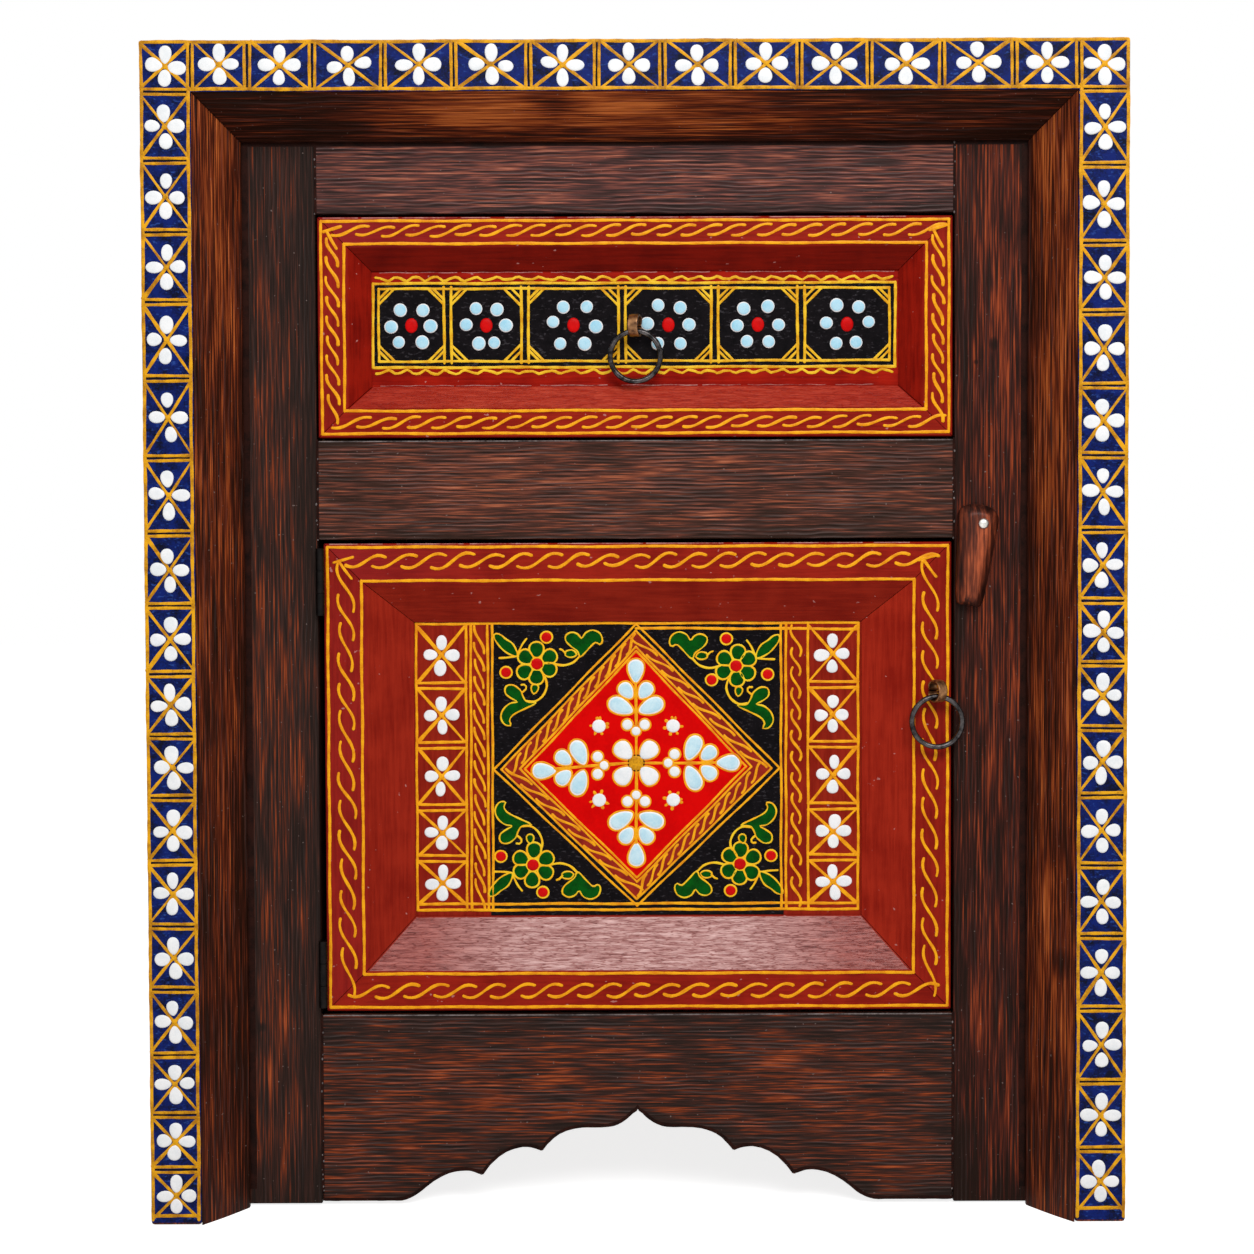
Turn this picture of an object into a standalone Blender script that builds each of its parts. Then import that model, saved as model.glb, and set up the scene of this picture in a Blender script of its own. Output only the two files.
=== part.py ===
"""Painted bedside cabinet with one drawer over a cupboard.

Thick side boards and a top board frame a mitred moulding that slopes back to a face frame. The
drawer front and the door are mitred, bevelled frames round flat panels, each with a ring pull on
a split pin, and a wooden turn button closes the door. The front faces -Y and the floor is Z = 0.
"""
import math

import bmesh
import bpy
from mathutils import Vector

# Case, with the gap that is left between two pieces that touch
WIDTH = 0.500
DEPTH = 0.380
HEIGHT = 0.603
BOARD = 0.026
BOARD_EASE = 0.0016
BACK_THICKNESS = 0.010
BACK_INSET = 0.003
BACK_CLEARANCE = 0.045
JOINT = 0.0003

# Sloping moulding between the case and the face frame
MOULDING_WIDTH = 0.0195
FACE_SETBACK = 0.033
MOULDING_LIP = 0.003
MOULDING_CROWN = 0.0011
MOULDING_STEPS = 6

# Face frame, from the floor up
FRAME_THICKNESS = 0.022
FRAME_EASE = 0.0008
STILE_WIDTH = 0.0575
STILE_CLEARANCE = 0.001
APRON_CLEARANCE = 0.0022
APRON_HEIGHT = 0.0991
MIDDLE_RAIL_HEIGHT = 0.0516
DRAWER_OPENING = 0.1178
TOP_RAIL_HEIGHT = 0.0563

# Scalloped lower edge of the apron, between two flat ends
SCALLOP_RISE = 0.0487
SCALLOP_END = 0.0395
CURVE_STEPS = 8

# Boards and strips inside the case
SHELF_THICKNESS = 0.014
FLOOR_LIFT = 0.006
CLEAT = 0.020
GUIDE = 0.018
GUIDE_GAP = 0.0008
KICKER = 0.020
KICKER_GAP = 0.0015
STOP_LENGTH = 0.040
STOP_DEPTH = 0.014
STOP_HEIGHT = 0.008
STOP_INSET = 0.0715

# Framed fronts: flat border, bevel, panel in a groove
FRONT_THICKNESS = 0.021
FRONT_SETBACK = 0.0005
FRONT_EASE = 0.0006
BEVEL_LIP = 0.0008
TONGUE = 0.005
PANEL_THICKNESS = 0.006

# Drawer
DRAWER_GAP_SIDE = 0.0011
DRAWER_GAP_END = 0.0016
DRAWER_BORDER = 0.0147
DRAWER_BEVEL = 0.0122
DRAWER_RECESS = 0.009
DRAWER_REAR_GAP = 0.0122
DRAWER_SIDE_THICKNESS = 0.012
DRAWER_SIDE_DROP = 0.0055
DRAWER_SIDE_INSET = 0.0055
DRAWER_BOTTOM_THICKNESS = 0.005
DRAWER_BOTTOM_LIFT = 0.010
DRAWER_GROOVE = 0.005

# Door
DOOR_GAP_HINGE = 0.0032
DOOR_GAP_FREE = 0.0015
DOOR_GAP_END = 0.0020
DOOR_BORDER = 0.0205
DOOR_BEVEL_SIDE = 0.0252
DOOR_BEVEL_TOP = 0.0210
DOOR_BEVEL_BOTTOM = 0.0275
DOOR_RECESS = 0.012

# Butt hinges, with the knuckles proud of the face
HINGE_LENGTH = 0.035
HINGE_END = 0.0025
HINGE_LEAF = 0.0009
HINGE_LEAF_WIDTH = 0.017
KNUCKLE_RADIUS = 0.0022
HINGE_PIN_RADIUS = 0.0010
HINGE_PIN_GAP = 0.0003
HINGE_PIN_TIP = 0.0004

# Ring pulls on split pins
RING_RADIUS = 0.0132
RING_WIRE_RADIUS = 0.0015
RING_SLACK = 0.0006
EYE_RADIUS = 0.0060
EYE_STRIP = 0.0011
EYE_WIDTH = 0.0052
EYE_NECK_BEND = 0.0016
EYE_LEG_GAP = 0.0004
EYE_TAIL_BEND = 0.0012
EYE_TAIL = 0.006
DRAWER_EYE_LIFT = 0.0009
DOOR_EYE_LIFT = 0.0452
DOOR_EYE_INSET = 0.0083

# Turn button on the right stile, and its nail
BUTTON_REACH = 0.0432
BUTTON_HEAD = 0.0098
BUTTON_HEAD_WIDTH = 0.0225
BUTTON_TIP_WIDTH = 0.0142
BUTTON_NAIL_OFFSET = 0.0025
BUTTON_HEAD_ROUND = 0.0065
BUTTON_TIP_ROUND = 0.0034
BUTTON_THICKNESS = 0.010
BUTTON_CHAMFER = 0.0030
BUTTON_GAP = 0.0004
BUTTON_TILT = math.radians(9.0)
BUTTON_NAIL_INSET = 0.0136
BUTTON_NAIL_LIFT = 0.0073
NAIL_RADIUS = 0.0015
NAIL_HEAD_RADIUS = 0.00265
NAIL_HEAD_HEIGHT = 0.0014
NAIL_DEPTH = 0.015

# Colour, roughness and metallic value of each finish
DARK_WOOD = ((0.060, 0.022, 0.013), 0.42, 0.0)
RED_PAINT = ((0.290, 0.022, 0.016), 0.38, 0.0)
BLACK_PAINT = ((0.008, 0.006, 0.007), 0.40, 0.0)
BARE_WOOD = ((0.240, 0.140, 0.075), 0.65, 0.0)
DARK_IRON = ((0.060, 0.055, 0.055), 0.45, 1.0)
COPPER = ((0.300, 0.150, 0.080), 0.50, 1.0)
BRIGHT_STEEL = ((0.700, 0.690, 0.660), 0.25, 1.0)

# Places that several pieces share
FRONT_Y = -DEPTH / 2
FACE_Y = FRONT_Y + FACE_SETBACK
FRAME_BACK_Y = FACE_Y + FRAME_THICKNESS
FRONT_FACE_Y = FACE_Y + FRONT_SETBACK
FRONT_BACK_Y = FRONT_FACE_Y + FRONT_THICKNESS
REAR_Y = DEPTH / 2 - BACK_INSET
BACK_Y = REAR_Y - BACK_THICKNESS
INNER_X = WIDTH / 2 - BOARD
OPENING_X = INNER_X - STILE_WIDTH
UNDERSIDE_Z = HEIGHT - BOARD
DRAWER_TOP_Z = UNDERSIDE_Z - TOP_RAIL_HEIGHT
RAIL_TOP_Z = DRAWER_TOP_Z - DRAWER_OPENING
DOOR_TOP_Z = RAIL_TOP_Z - MIDDLE_RAIL_HEIGHT
APRON_TOP_Z = APRON_CLEARANCE + APRON_HEIGHT
DRAWER_BASE_Z = RAIL_TOP_Z + JOINT
DRAWER_SIDE_TOP_Z = DRAWER_TOP_Z - DRAWER_SIDE_DROP
MITRE_CUT = JOINT * math.sqrt(0.5)
HINGE_X = -OPENING_X + DOOR_GAP_HINGE / 2
HINGE_Y = FACE_Y - KNUCKLE_RADIUS - JOINT
NAIL_X = OPENING_X + BUTTON_NAIL_INSET
NAIL_Z = DOOR_TOP_Z + BUTTON_NAIL_LIFT


def clear_scene():
    for thing in list(bpy.data.objects):
        bpy.data.objects.remove(thing)


def finish_for(name, look):
    """A Principled material of the piece's own."""
    colour, roughness, metallic = look
    material = bpy.data.materials.new(name + "_finish")
    material.use_nodes = True
    shader = material.node_tree.nodes["Principled BSDF"]
    shader.inputs["Base Color"].default_value = (*colour, 1.0)
    shader.inputs["Roughness"].default_value = roughness
    shader.inputs["Metallic"].default_value = metallic
    return material


def joint_axis(name, location):
    """An empty on a joint's axis, which carries the pieces that move about it."""
    empty = bpy.data.objects.new(name, None)
    empty.location = location
    bpy.context.collection.objects.link(empty)
    return empty


def add_piece(name, shape, look, location=(0, 0, 0), parent=None, smooth=False):
    """Turn a bmesh, drawn about its own origin, into a named object at a place in the cabinet."""
    bmesh.ops.recalc_face_normals(shape, faces=shape.faces)
    mesh = bpy.data.meshes.new(name)
    shape.to_mesh(mesh)
    shape.free()
    if smooth:
        mesh.shade_smooth()
        mesh.set_sharp_from_angle(angle=math.radians(40))
    if look:
        mesh.materials.append(finish_for(name, look))
    piece = bpy.data.objects.new(name, mesh)
    bpy.context.collection.objects.link(piece)
    piece.parent = parent
    piece.location = Vector(location) - (parent.location if parent else Vector())
    return piece


def box_shape(size):
    """A box of the given size about its own centre."""
    shape = bmesh.new()
    bmesh.ops.create_cube(shape, size=1.0)
    bmesh.ops.scale(shape, vec=size, verts=shape.verts)
    return shape


def prism_shape(outline, axis, start, end):
    """A flat outline pushed out along X, Y or Z, from start to end."""
    shape = bmesh.new()
    ends = []
    for level in (start, end):
        if axis == "X":
            points = [(level, u, v) for u, v in outline]
        elif axis == "Y":
            points = [(u, level, v) for u, v in outline]
        else:
            points = [(u, v, level) for u, v in outline]
        ends.append([shape.verts.new(point) for point in points])
    join_loops(shape, ends)
    return shape


def join_loops(shape, loops):
    """Skin a closed body over a row of matching closed loops, with a face at each end."""
    count = len(loops[0])
    shape.faces.new(loops[0])
    shape.faces.new(loops[-1])
    for near, far in zip(loops, loops[1:]):
        for i in range(count):
            j = (i + 1) % count
            shape.faces.new((near[i], near[j], far[j], far[i]))


def ease_edges(piece, width, segments=2):
    """Round the sharp edges of a board."""
    bevel = piece.modifiers.new("eased_edges", "BEVEL")
    bevel.width = width
    bevel.segments = segments
    bevel.limit_method = "ANGLE"
    bevel.angle_limit = math.radians(40)


def board(name, low, high, look, ease=0.0, parent=None):
    """A rectangular board between two corners."""
    low = Vector(low)
    high = Vector(high)
    piece = add_piece(name, box_shape(high - low), look, (low + high) / 2, parent)
    if ease:
        ease_edges(piece, ease)
    return piece


def cut_from(piece, name, shape, location, parent=None):
    """Cut a shape out of a piece. The cutter itself is only a guide."""
    cutter = add_piece(name, shape, None, location, parent)
    cutter.hide_render = True
    cutter.display_type = "WIRE"
    cut = piece.modifiers.new(name, "BOOLEAN")
    cut.operation = "DIFFERENCE"
    cut.solver = "EXACT"
    cut.object = cutter


def arc(centre, radius, start, end, steps):
    """Points along an arc, with angles in radians."""
    points = []
    for step in range(steps + 1):
        angle = start + (end - start) * step / steps
        points.append((centre[0] + radius * math.cos(angle), centre[1] + radius * math.sin(angle)))
    return points


def curve(start, start_handle, end_handle, end):
    """Points along a cubic curve, without its first one."""
    points = []
    for step in range(1, CURVE_STEPS + 1):
        t = step / CURVE_STEPS
        s = 1 - t
        weights = (s ** 3, 3 * s * s * t, 3 * s * t * t, t ** 3)
        corners = (start, start_handle, end_handle, end)
        x = sum(w * c[0] for w, c in zip(weights, corners))
        z = sum(w * c[1] for w, c in zip(weights, corners))
        points.append((x, z))
    return points


def turned_shape(profile, sides, axis):
    """A profile of (radius, height) points turned about an axis, closed where its radius is 0."""
    axis = Vector(axis)
    across = axis.orthogonal().normalized()
    shape = bmesh.new()
    verts = [shape.verts.new(across * radius + axis * height) for radius, height in profile]
    edges = [shape.edges.new(pair) for pair in zip(verts, verts[1:])]
    bmesh.ops.spin(shape, geom=verts + edges, cent=(0, 0, 0), axis=axis, angle=math.tau,
                   steps=sides, use_merge=True)
    bmesh.ops.remove_doubles(shape, verts=shape.verts, dist=0.000001)
    return shape


def case_boards():
    """Two side boards under a full-width top board, with a thin back let in between the sides."""
    for side, sign in (("left", -1), ("right", 1)):
        edges = sorted((sign * INNER_X, sign * WIDTH / 2))
        board("side_panel_" + side, (edges[0], FRONT_Y, 0), (edges[1], DEPTH / 2, UNDERSIDE_Z - JOINT),
              DARK_WOOD, BOARD_EASE)
    board("top_board", (-WIDTH / 2, FRONT_Y, UNDERSIDE_Z), (WIDTH / 2, DEPTH / 2, HEIGHT),
          DARK_WOOD, BOARD_EASE)
    board("back_panel", (-INNER_X + JOINT, BACK_Y, BACK_CLEARANCE),
          (INNER_X - JOINT, REAR_Y, UNDERSIDE_Z - JOINT), BARE_WOOD)


def mitred_member(name, section, caps, ends, origin, along, inward, length, look, parent=None):
    """A straight member of even section with shaped ends.

    The section is a list of (offset inward, depth) points. The two end functions give how far each
    offset is cut back from that end, and caps lists the flat parts of an end by section point.
    """
    along = Vector(along)
    inward = Vector(inward)
    shape = bmesh.new()
    loops = []
    for at_start, cut_back in zip((True, False), ends):
        loop = []
        for offset, depth in section:
            reach = cut_back(offset) if at_start else length - cut_back(offset)
            point = along * reach + inward * offset + Vector((0, depth, 0))
            loop.append(shape.verts.new(point))
        loops.append(loop)
        for cap in caps:
            shape.faces.new([loop[i] for i in cap])
    near, far = loops
    for i in range(len(section)):
        j = (i + 1) % len(section)
        shape.faces.new((near[i], near[j], far[j], far[i]))
    return add_piece(name, shape, look, origin, parent)


def moulding():
    """Three mitred lengths of gently crowned slope, from the case's front edge to the face frame."""
    run = FACE_SETBACK - MOULDING_LIP - JOINT
    section = [(JOINT, FACE_SETBACK - JOINT), (JOINT, 0)]
    for step in range(1, MOULDING_STEPS + 1):
        t = step / MOULDING_STEPS
        crown = MOULDING_CROWN * math.sin(math.pi * t)
        section.append((JOINT + (MOULDING_WIDTH - JOINT) * t, run * t - crown))
    section.append((MOULDING_WIDTH, FACE_SETBACK - JOINT))
    caps = [list(range(len(section)))]

    def mitre(offset):
        return offset + MITRE_CUT

    def square(offset):
        return 0.0

    for side, sign in (("left", -1), ("right", 1)):
        mitred_member("moulding_" + side, section, caps, (square, mitre), (sign * INNER_X, FRONT_Y, 0),
                      (0, 0, 1), (-sign, 0, 0), UNDERSIDE_Z, DARK_WOOD)
    mitred_member("moulding_top", section, caps, (mitre, mitre), (-INNER_X, FRONT_Y, UNDERSIDE_Z),
                  (1, 0, 0), (0, 0, -1), 2 * INNER_X, DARK_WOOD)


def scallop_outline():
    """The apron's lower edge, left to right: an ogee point in the middle and three lobes a side."""
    half_width = OPENING_X - SCALLOP_END

    def at(out, down):
        """A place given by its share of the half width and of the rise, from the middle point."""
        return (half_width * out, APRON_CLEARANCE + SCALLOP_RISE * (1 - down))

    middle = at(0, 0)
    shoulder = at(0.150, 0.207)
    first_cusp = at(0.398, 0.466)
    second_cusp = at(0.646, 0.727)
    ogee = at(0.883, 0.856)
    foot = at(1, 1)
    half = [middle]
    half += curve(middle, at(0.047, 0.127), at(0.071, 0.201), shoulder)
    half += curve(shoulder, at(0.268, 0.193), at(0.339, 0.230), first_cusp)
    half += curve(first_cusp, at(0.449, 0.370), at(0.567, 0.390), second_cusp)
    half += curve(second_cusp, at(0.709, 0.626), at(0.795, 0.661), ogee)
    half += curve(ogee, at(0.921, 0.940), at(0.953, 1), foot)
    return [(-x, z) for x, z in reversed(half[1:])] + half


def face_frame():
    """Two stiles from the floor to the top board, two rails between them and the shaped apron."""
    for side, sign in (("left", -1), ("right", 1)):
        edges = sorted((sign * OPENING_X, sign * (INNER_X - JOINT)))
        stile = board("stile_" + side, (edges[0], FACE_Y, STILE_CLEARANCE),
                      (edges[1], FRAME_BACK_Y, UNDERSIDE_Z - JOINT), DARK_WOOD, FRAME_EASE)
    hole_radius = NAIL_RADIUS + JOINT
    hole = turned_shape([(0, -NAIL_DEPTH), (hole_radius, -NAIL_DEPTH), (hole_radius, NAIL_DEPTH),
                         (0, NAIL_DEPTH)], 16, (0, -1, 0))
    cut_from(stile, "stile_nail_hole", hole, (NAIL_X, FACE_Y + JOINT, NAIL_Z))

    rail_x = OPENING_X - JOINT
    board("top_rail", (-rail_x, FACE_Y, DRAWER_TOP_Z), (rail_x, FRAME_BACK_Y, UNDERSIDE_Z - JOINT),
          DARK_WOOD, FRAME_EASE)
    board("middle_rail", (-rail_x, FACE_Y, DOOR_TOP_Z), (rail_x, FRAME_BACK_Y, RAIL_TOP_Z),
          DARK_WOOD, FRAME_EASE)
    outline = [(-rail_x, APRON_CLEARANCE)] + scallop_outline()
    outline += [(rail_x, APRON_CLEARANCE), (rail_x, APRON_TOP_Z), (-rail_x, APRON_TOP_Z)]
    apron = add_piece("apron", prism_shape(outline, "Y", 0, FRAME_THICKNESS), DARK_WOOD, (0, FACE_Y, 0))
    ease_edges(apron, FRAME_EASE, 1)


def inner_boards():
    """The deck under the drawer and the cupboard floor, each on cleats nailed to the side boards."""
    front = FRAME_BACK_Y + JOINT
    rear = BACK_Y - JOINT
    shelf_x = INNER_X - JOINT
    for shelf, cleat, top in (("drawer_deck", "deck_cleat_", RAIL_TOP_Z),
                              ("cupboard_floor", "floor_cleat_", APRON_TOP_Z + FLOOR_LIFT)):
        under = top - SHELF_THICKNESS
        board(shelf, (-shelf_x, front, under), (shelf_x, rear, top), BARE_WOOD)
        for side, sign in (("left", -1), ("right", 1)):
            edges = sorted((sign * (INNER_X - CLEAT), sign * shelf_x))
            board(cleat + side, (edges[0], front, under - CLEAT), (edges[1], rear, under - JOINT),
                  BARE_WOOD)


def drawer_track():
    """Strips that guide the drawer's sides, keep it from tipping and stop it when it is shut."""
    front = FRAME_BACK_Y + JOINT
    rear = BACK_Y - JOINT
    outside = OPENING_X - DRAWER_SIDE_INSET - DRAWER_GAP_SIDE
    kicker_z = DRAWER_SIDE_TOP_Z + KICKER_GAP
    stop_y = max(front, FRONT_BACK_Y + JOINT)
    for side, sign in (("left", -1), ("right", 1)):
        edges = sorted((sign * (outside + GUIDE_GAP), sign * (outside + GUIDE_GAP + GUIDE)))
        board("drawer_guide_" + side, (edges[0], front, DRAWER_BASE_Z),
              (edges[1], rear, DRAWER_BASE_Z + GUIDE), BARE_WOOD)
        edges = sorted((sign * (outside - KICKER), sign * outside))
        board("drawer_kicker_" + side, (edges[0], front, kicker_z), (edges[1], rear, kicker_z + KICKER),
              BARE_WOOD)
        middle = sign * (OPENING_X - STOP_INSET)
        board("drawer_stop_" + side, (middle - STOP_LENGTH / 2, stop_y, DRAWER_BASE_Z),
              (middle + STOP_LENGTH / 2, stop_y + STOP_DEPTH, DRAWER_BASE_Z + STOP_HEIGHT), BARE_WOOD)


def framed_front(names, low, high, border, bevels, recess, panel_look, parent):
    """Four mitred members with a bevel down to a flat panel that is held in their grooves.

    low and high are the outer corners as (x, z), and bevels gives each member's bevel by its side.
    """
    slot = PANEL_THICKNESS + 2 * JOINT
    width = high[0] - low[0]
    height = high[1] - low[1]
    runs = {
        "top": ((low[0], high[1]), (1, 0, 0), (0, 0, -1), width, ("left", "right")),
        "bottom": (low, (1, 0, 0), (0, 0, 1), width, ("left", "right")),
        "left": (low, (0, 0, 1), (1, 0, 0), height, ("bottom", "top")),
        "right": ((high[0], low[1]), (0, 0, 1), (-1, 0, 0), height, ("bottom", "top")),
    }
    pieces = {}
    for side, (corner, along, inward, length, neighbours) in runs.items():
        edge = border + bevels[side]
        section = [
            (0, FRONT_EASE), (FRONT_EASE, 0), (border, 0),
            (edge, recess - BEVEL_LIP), (edge, recess), (edge - TONGUE, recess),
            (edge - TONGUE, recess + slot), (edge, recess + slot), (edge, FRONT_THICKNESS),
            (border, FRONT_THICKNESS), (0, FRONT_THICKNESS),
        ]
        caps = [[0, 1, 2, 9, 10], [2, 3, 4, 5, 6, 7, 8, 9]]
        ends = []
        for neighbour in neighbours:
            slope = bevels[neighbour] / bevels[side]

            def mitre(offset, slope=slope):
                past_border = max(0.0, offset - border)
                return min(offset, border) + past_border * slope + MITRE_CUT

            ends.append(mitre)
        origin = (corner[0], FRONT_FACE_Y, corner[1])
        pieces[side] = mitred_member(names[side], section, caps, ends, origin, along, inward, length,
                                     RED_PAINT, parent)
    hold = TONGUE - 2 * JOINT
    panel_y = FRONT_FACE_Y + recess + JOINT
    panel_low = (low[0] + border + bevels["left"] - hold, panel_y, low[1] + border + bevels["bottom"] - hold)
    panel_high = (high[0] - border - bevels["right"] + hold, panel_y + PANEL_THICKNESS,
                  high[1] - border - bevels["top"] + hold)
    pieces["panel"] = board(names["panel"], panel_low, panel_high, panel_look, 0.0, parent)
    return pieces


def eye_standoff():
    """How far the middle of an eye's loop stands off the wood that its legs go into."""
    middle = EYE_RADIUS - EYE_STRIP / 2
    leg = (EYE_LEG_GAP + EYE_STRIP) / 2
    return math.sqrt((middle + EYE_NECK_BEND) ** 2 - (leg + EYE_NECK_BEND) ** 2) + JOINT


def eye_path(wood):
    """Centre line of a split pin in (y, z): a loop, two legs through the wood, and tails bent flat."""
    middle = EYE_RADIUS - EYE_STRIP / 2
    leg = (EYE_LEG_GAP + EYE_STRIP) / 2
    neck = (eye_standoff() - JOINT, leg + EYE_NECK_BEND)
    meet = math.atan2(neck[1], neck[0])
    tail_y = eye_standoff() + wood + JOINT + EYE_STRIP / 2
    turn = (tail_y - EYE_TAIL_BEND, leg + EYE_TAIL_BEND)
    half = arc((0, 0), middle, math.pi, meet, 16)
    half += arc(neck, EYE_NECK_BEND, math.pi + meet, 1.5 * math.pi, 4)[1:]
    half += arc(turn, EYE_TAIL_BEND, -0.5 * math.pi, 0, 4)
    half.append((tail_y, turn[1] + EYE_TAIL))
    return [(y, -z) for y, z in reversed(half[1:])] + half


def strip_outline(path, thickness):
    """Closed outline of a strip of even thickness along a path."""
    near = []
    far = []
    for i, point in enumerate(path):
        before = Vector(path[max(i - 1, 0)])
        after = Vector(path[min(i + 1, len(path) - 1)])
        along = (after - before).normalized()
        side = Vector((-along.y, along.x)) * thickness / 2
        near.append(tuple(Vector(point) + side))
        far.append(tuple(Vector(point) - side))
    return near + far[::-1]


def ring_pull(prefix, wood_piece, wood, x, surface_y, z, parent):
    """A split pin through the wood and the iron ring that hangs in its loop."""
    standoff = eye_standoff()
    outline = strip_outline(eye_path(wood), EYE_STRIP)
    eye_shape = prism_shape(outline, "X", -EYE_WIDTH / 2, EYE_WIDTH / 2)
    add_piece(prefix + "_eye", eye_shape, COPPER, (x, surface_y - standoff, z), parent, True)
    slot = (EYE_WIDTH + 2 * JOINT, 2 * wood, EYE_LEG_GAP + 2 * EYE_STRIP + 2 * JOINT)
    cut_from(wood_piece, prefix + "_slot", box_shape(slot), (x, surface_y + wood / 2, z), parent)

    hang = EYE_RADIUS - EYE_STRIP - RING_WIRE_RADIUS - RING_SLACK
    shape = bmesh.new()
    wire = bmesh.ops.create_circle(shape, segments=10, radius=RING_WIRE_RADIUS)["verts"]
    bmesh.ops.translate(shape, vec=(RING_RADIUS, 0, 0), verts=wire)
    bmesh.ops.spin(shape, geom=wire + list(shape.edges), cent=(0, 0, 0), axis=(0, 1, 0), angle=math.tau,
                   steps=36, use_merge=True)
    bmesh.ops.remove_doubles(shape, verts=shape.verts, dist=0.000001)
    bmesh.ops.translate(shape, vec=(0, 0, -RING_RADIUS), verts=shape.verts)
    add_piece(prefix + "_ring", shape, DARK_IRON, (x, surface_y - standoff, z - hang), parent, True)


def drawer():
    """The framed front, and a plain box behind it whose bottom slides in grooves in its sides."""
    half_x = OPENING_X - DRAWER_GAP_SIDE
    low = (-half_x, RAIL_TOP_Z + DRAWER_GAP_END)
    high = (half_x, DRAWER_TOP_Z - DRAWER_GAP_END)
    slide = joint_axis("drawer_slide", (0, FRONT_FACE_Y, (low[1] + high[1]) / 2))
    names = {side: "drawer_front_" + side for side in ("top", "bottom", "left", "right", "panel")}
    bevels = dict.fromkeys(("top", "bottom", "left", "right"), DRAWER_BEVEL)
    front = framed_front(names, low, high, DRAWER_BORDER, bevels, DRAWER_RECESS, BLACK_PAINT, slide)

    outside = half_x - DRAWER_SIDE_INSET
    inside = outside - DRAWER_SIDE_THICKNESS
    start = FRONT_BACK_Y + JOINT
    end = BACK_Y - DRAWER_REAR_GAP
    groove_low = DRAWER_BASE_Z + DRAWER_BOTTOM_LIFT
    groove_high = groove_low + DRAWER_BOTTOM_THICKNESS + 2 * JOINT
    groove_x = inside + DRAWER_GROOVE
    outline = [(inside, DRAWER_BASE_Z), (outside, DRAWER_BASE_Z), (outside, DRAWER_SIDE_TOP_Z),
               (inside, DRAWER_SIDE_TOP_Z), (inside, groove_high), (groove_x, groove_high),
               (groove_x, groove_low), (inside, groove_low)]
    for side, sign in (("left", -1), ("right", 1)):
        section = [(sign * x, z) for x, z in outline]
        add_piece("drawer_side_" + side, prism_shape(section, "Y", start, end), BARE_WOOD, parent=slide)
    bottom_x = groove_x - JOINT
    bottom_z = groove_low + JOINT
    board("drawer_bottom", (-bottom_x, start, bottom_z), (bottom_x, end, bottom_z + DRAWER_BOTTOM_THICKNESS),
          BARE_WOOD, parent=slide)
    board("drawer_back", (JOINT - inside, end - DRAWER_SIDE_THICKNESS, groove_high),
          (inside - JOINT, end, DRAWER_SIDE_TOP_Z), BARE_WOOD, parent=slide)

    surface_y = FRONT_FACE_Y + DRAWER_RECESS + JOINT
    eye_z = (low[1] + high[1]) / 2 + DRAWER_EYE_LIFT
    ring_pull("drawer_pull", front["panel"], PANEL_THICKNESS, 0, surface_y, eye_z, slide)


def door():
    """The framed door, with its pull through the free stile."""
    low = (-OPENING_X + DOOR_GAP_HINGE, APRON_TOP_Z + DOOR_GAP_END)
    high = (OPENING_X - DOOR_GAP_FREE, DOOR_TOP_Z - DOOR_GAP_END)
    middle_z = (low[1] + high[1]) / 2
    swing = joint_axis("door_swing", (HINGE_X, HINGE_Y, middle_z))
    names = {"top": "door_rail_top", "bottom": "door_rail_bottom", "left": "door_stile_left",
             "right": "door_stile_right", "panel": "door_panel"}
    bevels = {"top": DOOR_BEVEL_TOP, "bottom": DOOR_BEVEL_BOTTOM, "left": DOOR_BEVEL_SIDE,
              "right": DOOR_BEVEL_SIDE}
    front = framed_front(names, low, high, DOOR_BORDER, bevels, DOOR_RECESS, BLACK_PAINT, swing)
    ring_pull("door_pull", front["right"], FRONT_THICKNESS, high[0] - DOOR_EYE_INSET, FRONT_FACE_Y,
              middle_z + DOOR_EYE_LIFT, swing)
    hinges("hinge_upper", high[1] - HINGE_END - HINGE_LENGTH / 2, swing)
    hinges("hinge_lower", low[1] + HINGE_END + HINGE_LENGTH / 2, swing)


def leaf_outline(sign):
    """Plan of a hinge leaf in (x, y) about the pin: a plate that ends in a round knuckle."""
    outer = DOOR_GAP_HINGE / 2 - JOINT
    inner = outer - HINGE_LEAF
    end = KNUCKLE_RADIUS + JOINT + HINGE_LEAF_WIDTH
    start_angle = math.pi - math.acos(outer / KNUCKLE_RADIUS)
    end_angle = math.tau + math.pi - math.acos(inner / KNUCKLE_RADIUS)
    outline = [(-outer, end)] + arc((0, 0), KNUCKLE_RADIUS, start_angle, end_angle, 22) + [(-inner, end)]
    return [(-sign * x, y) for x, y in outline]


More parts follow.
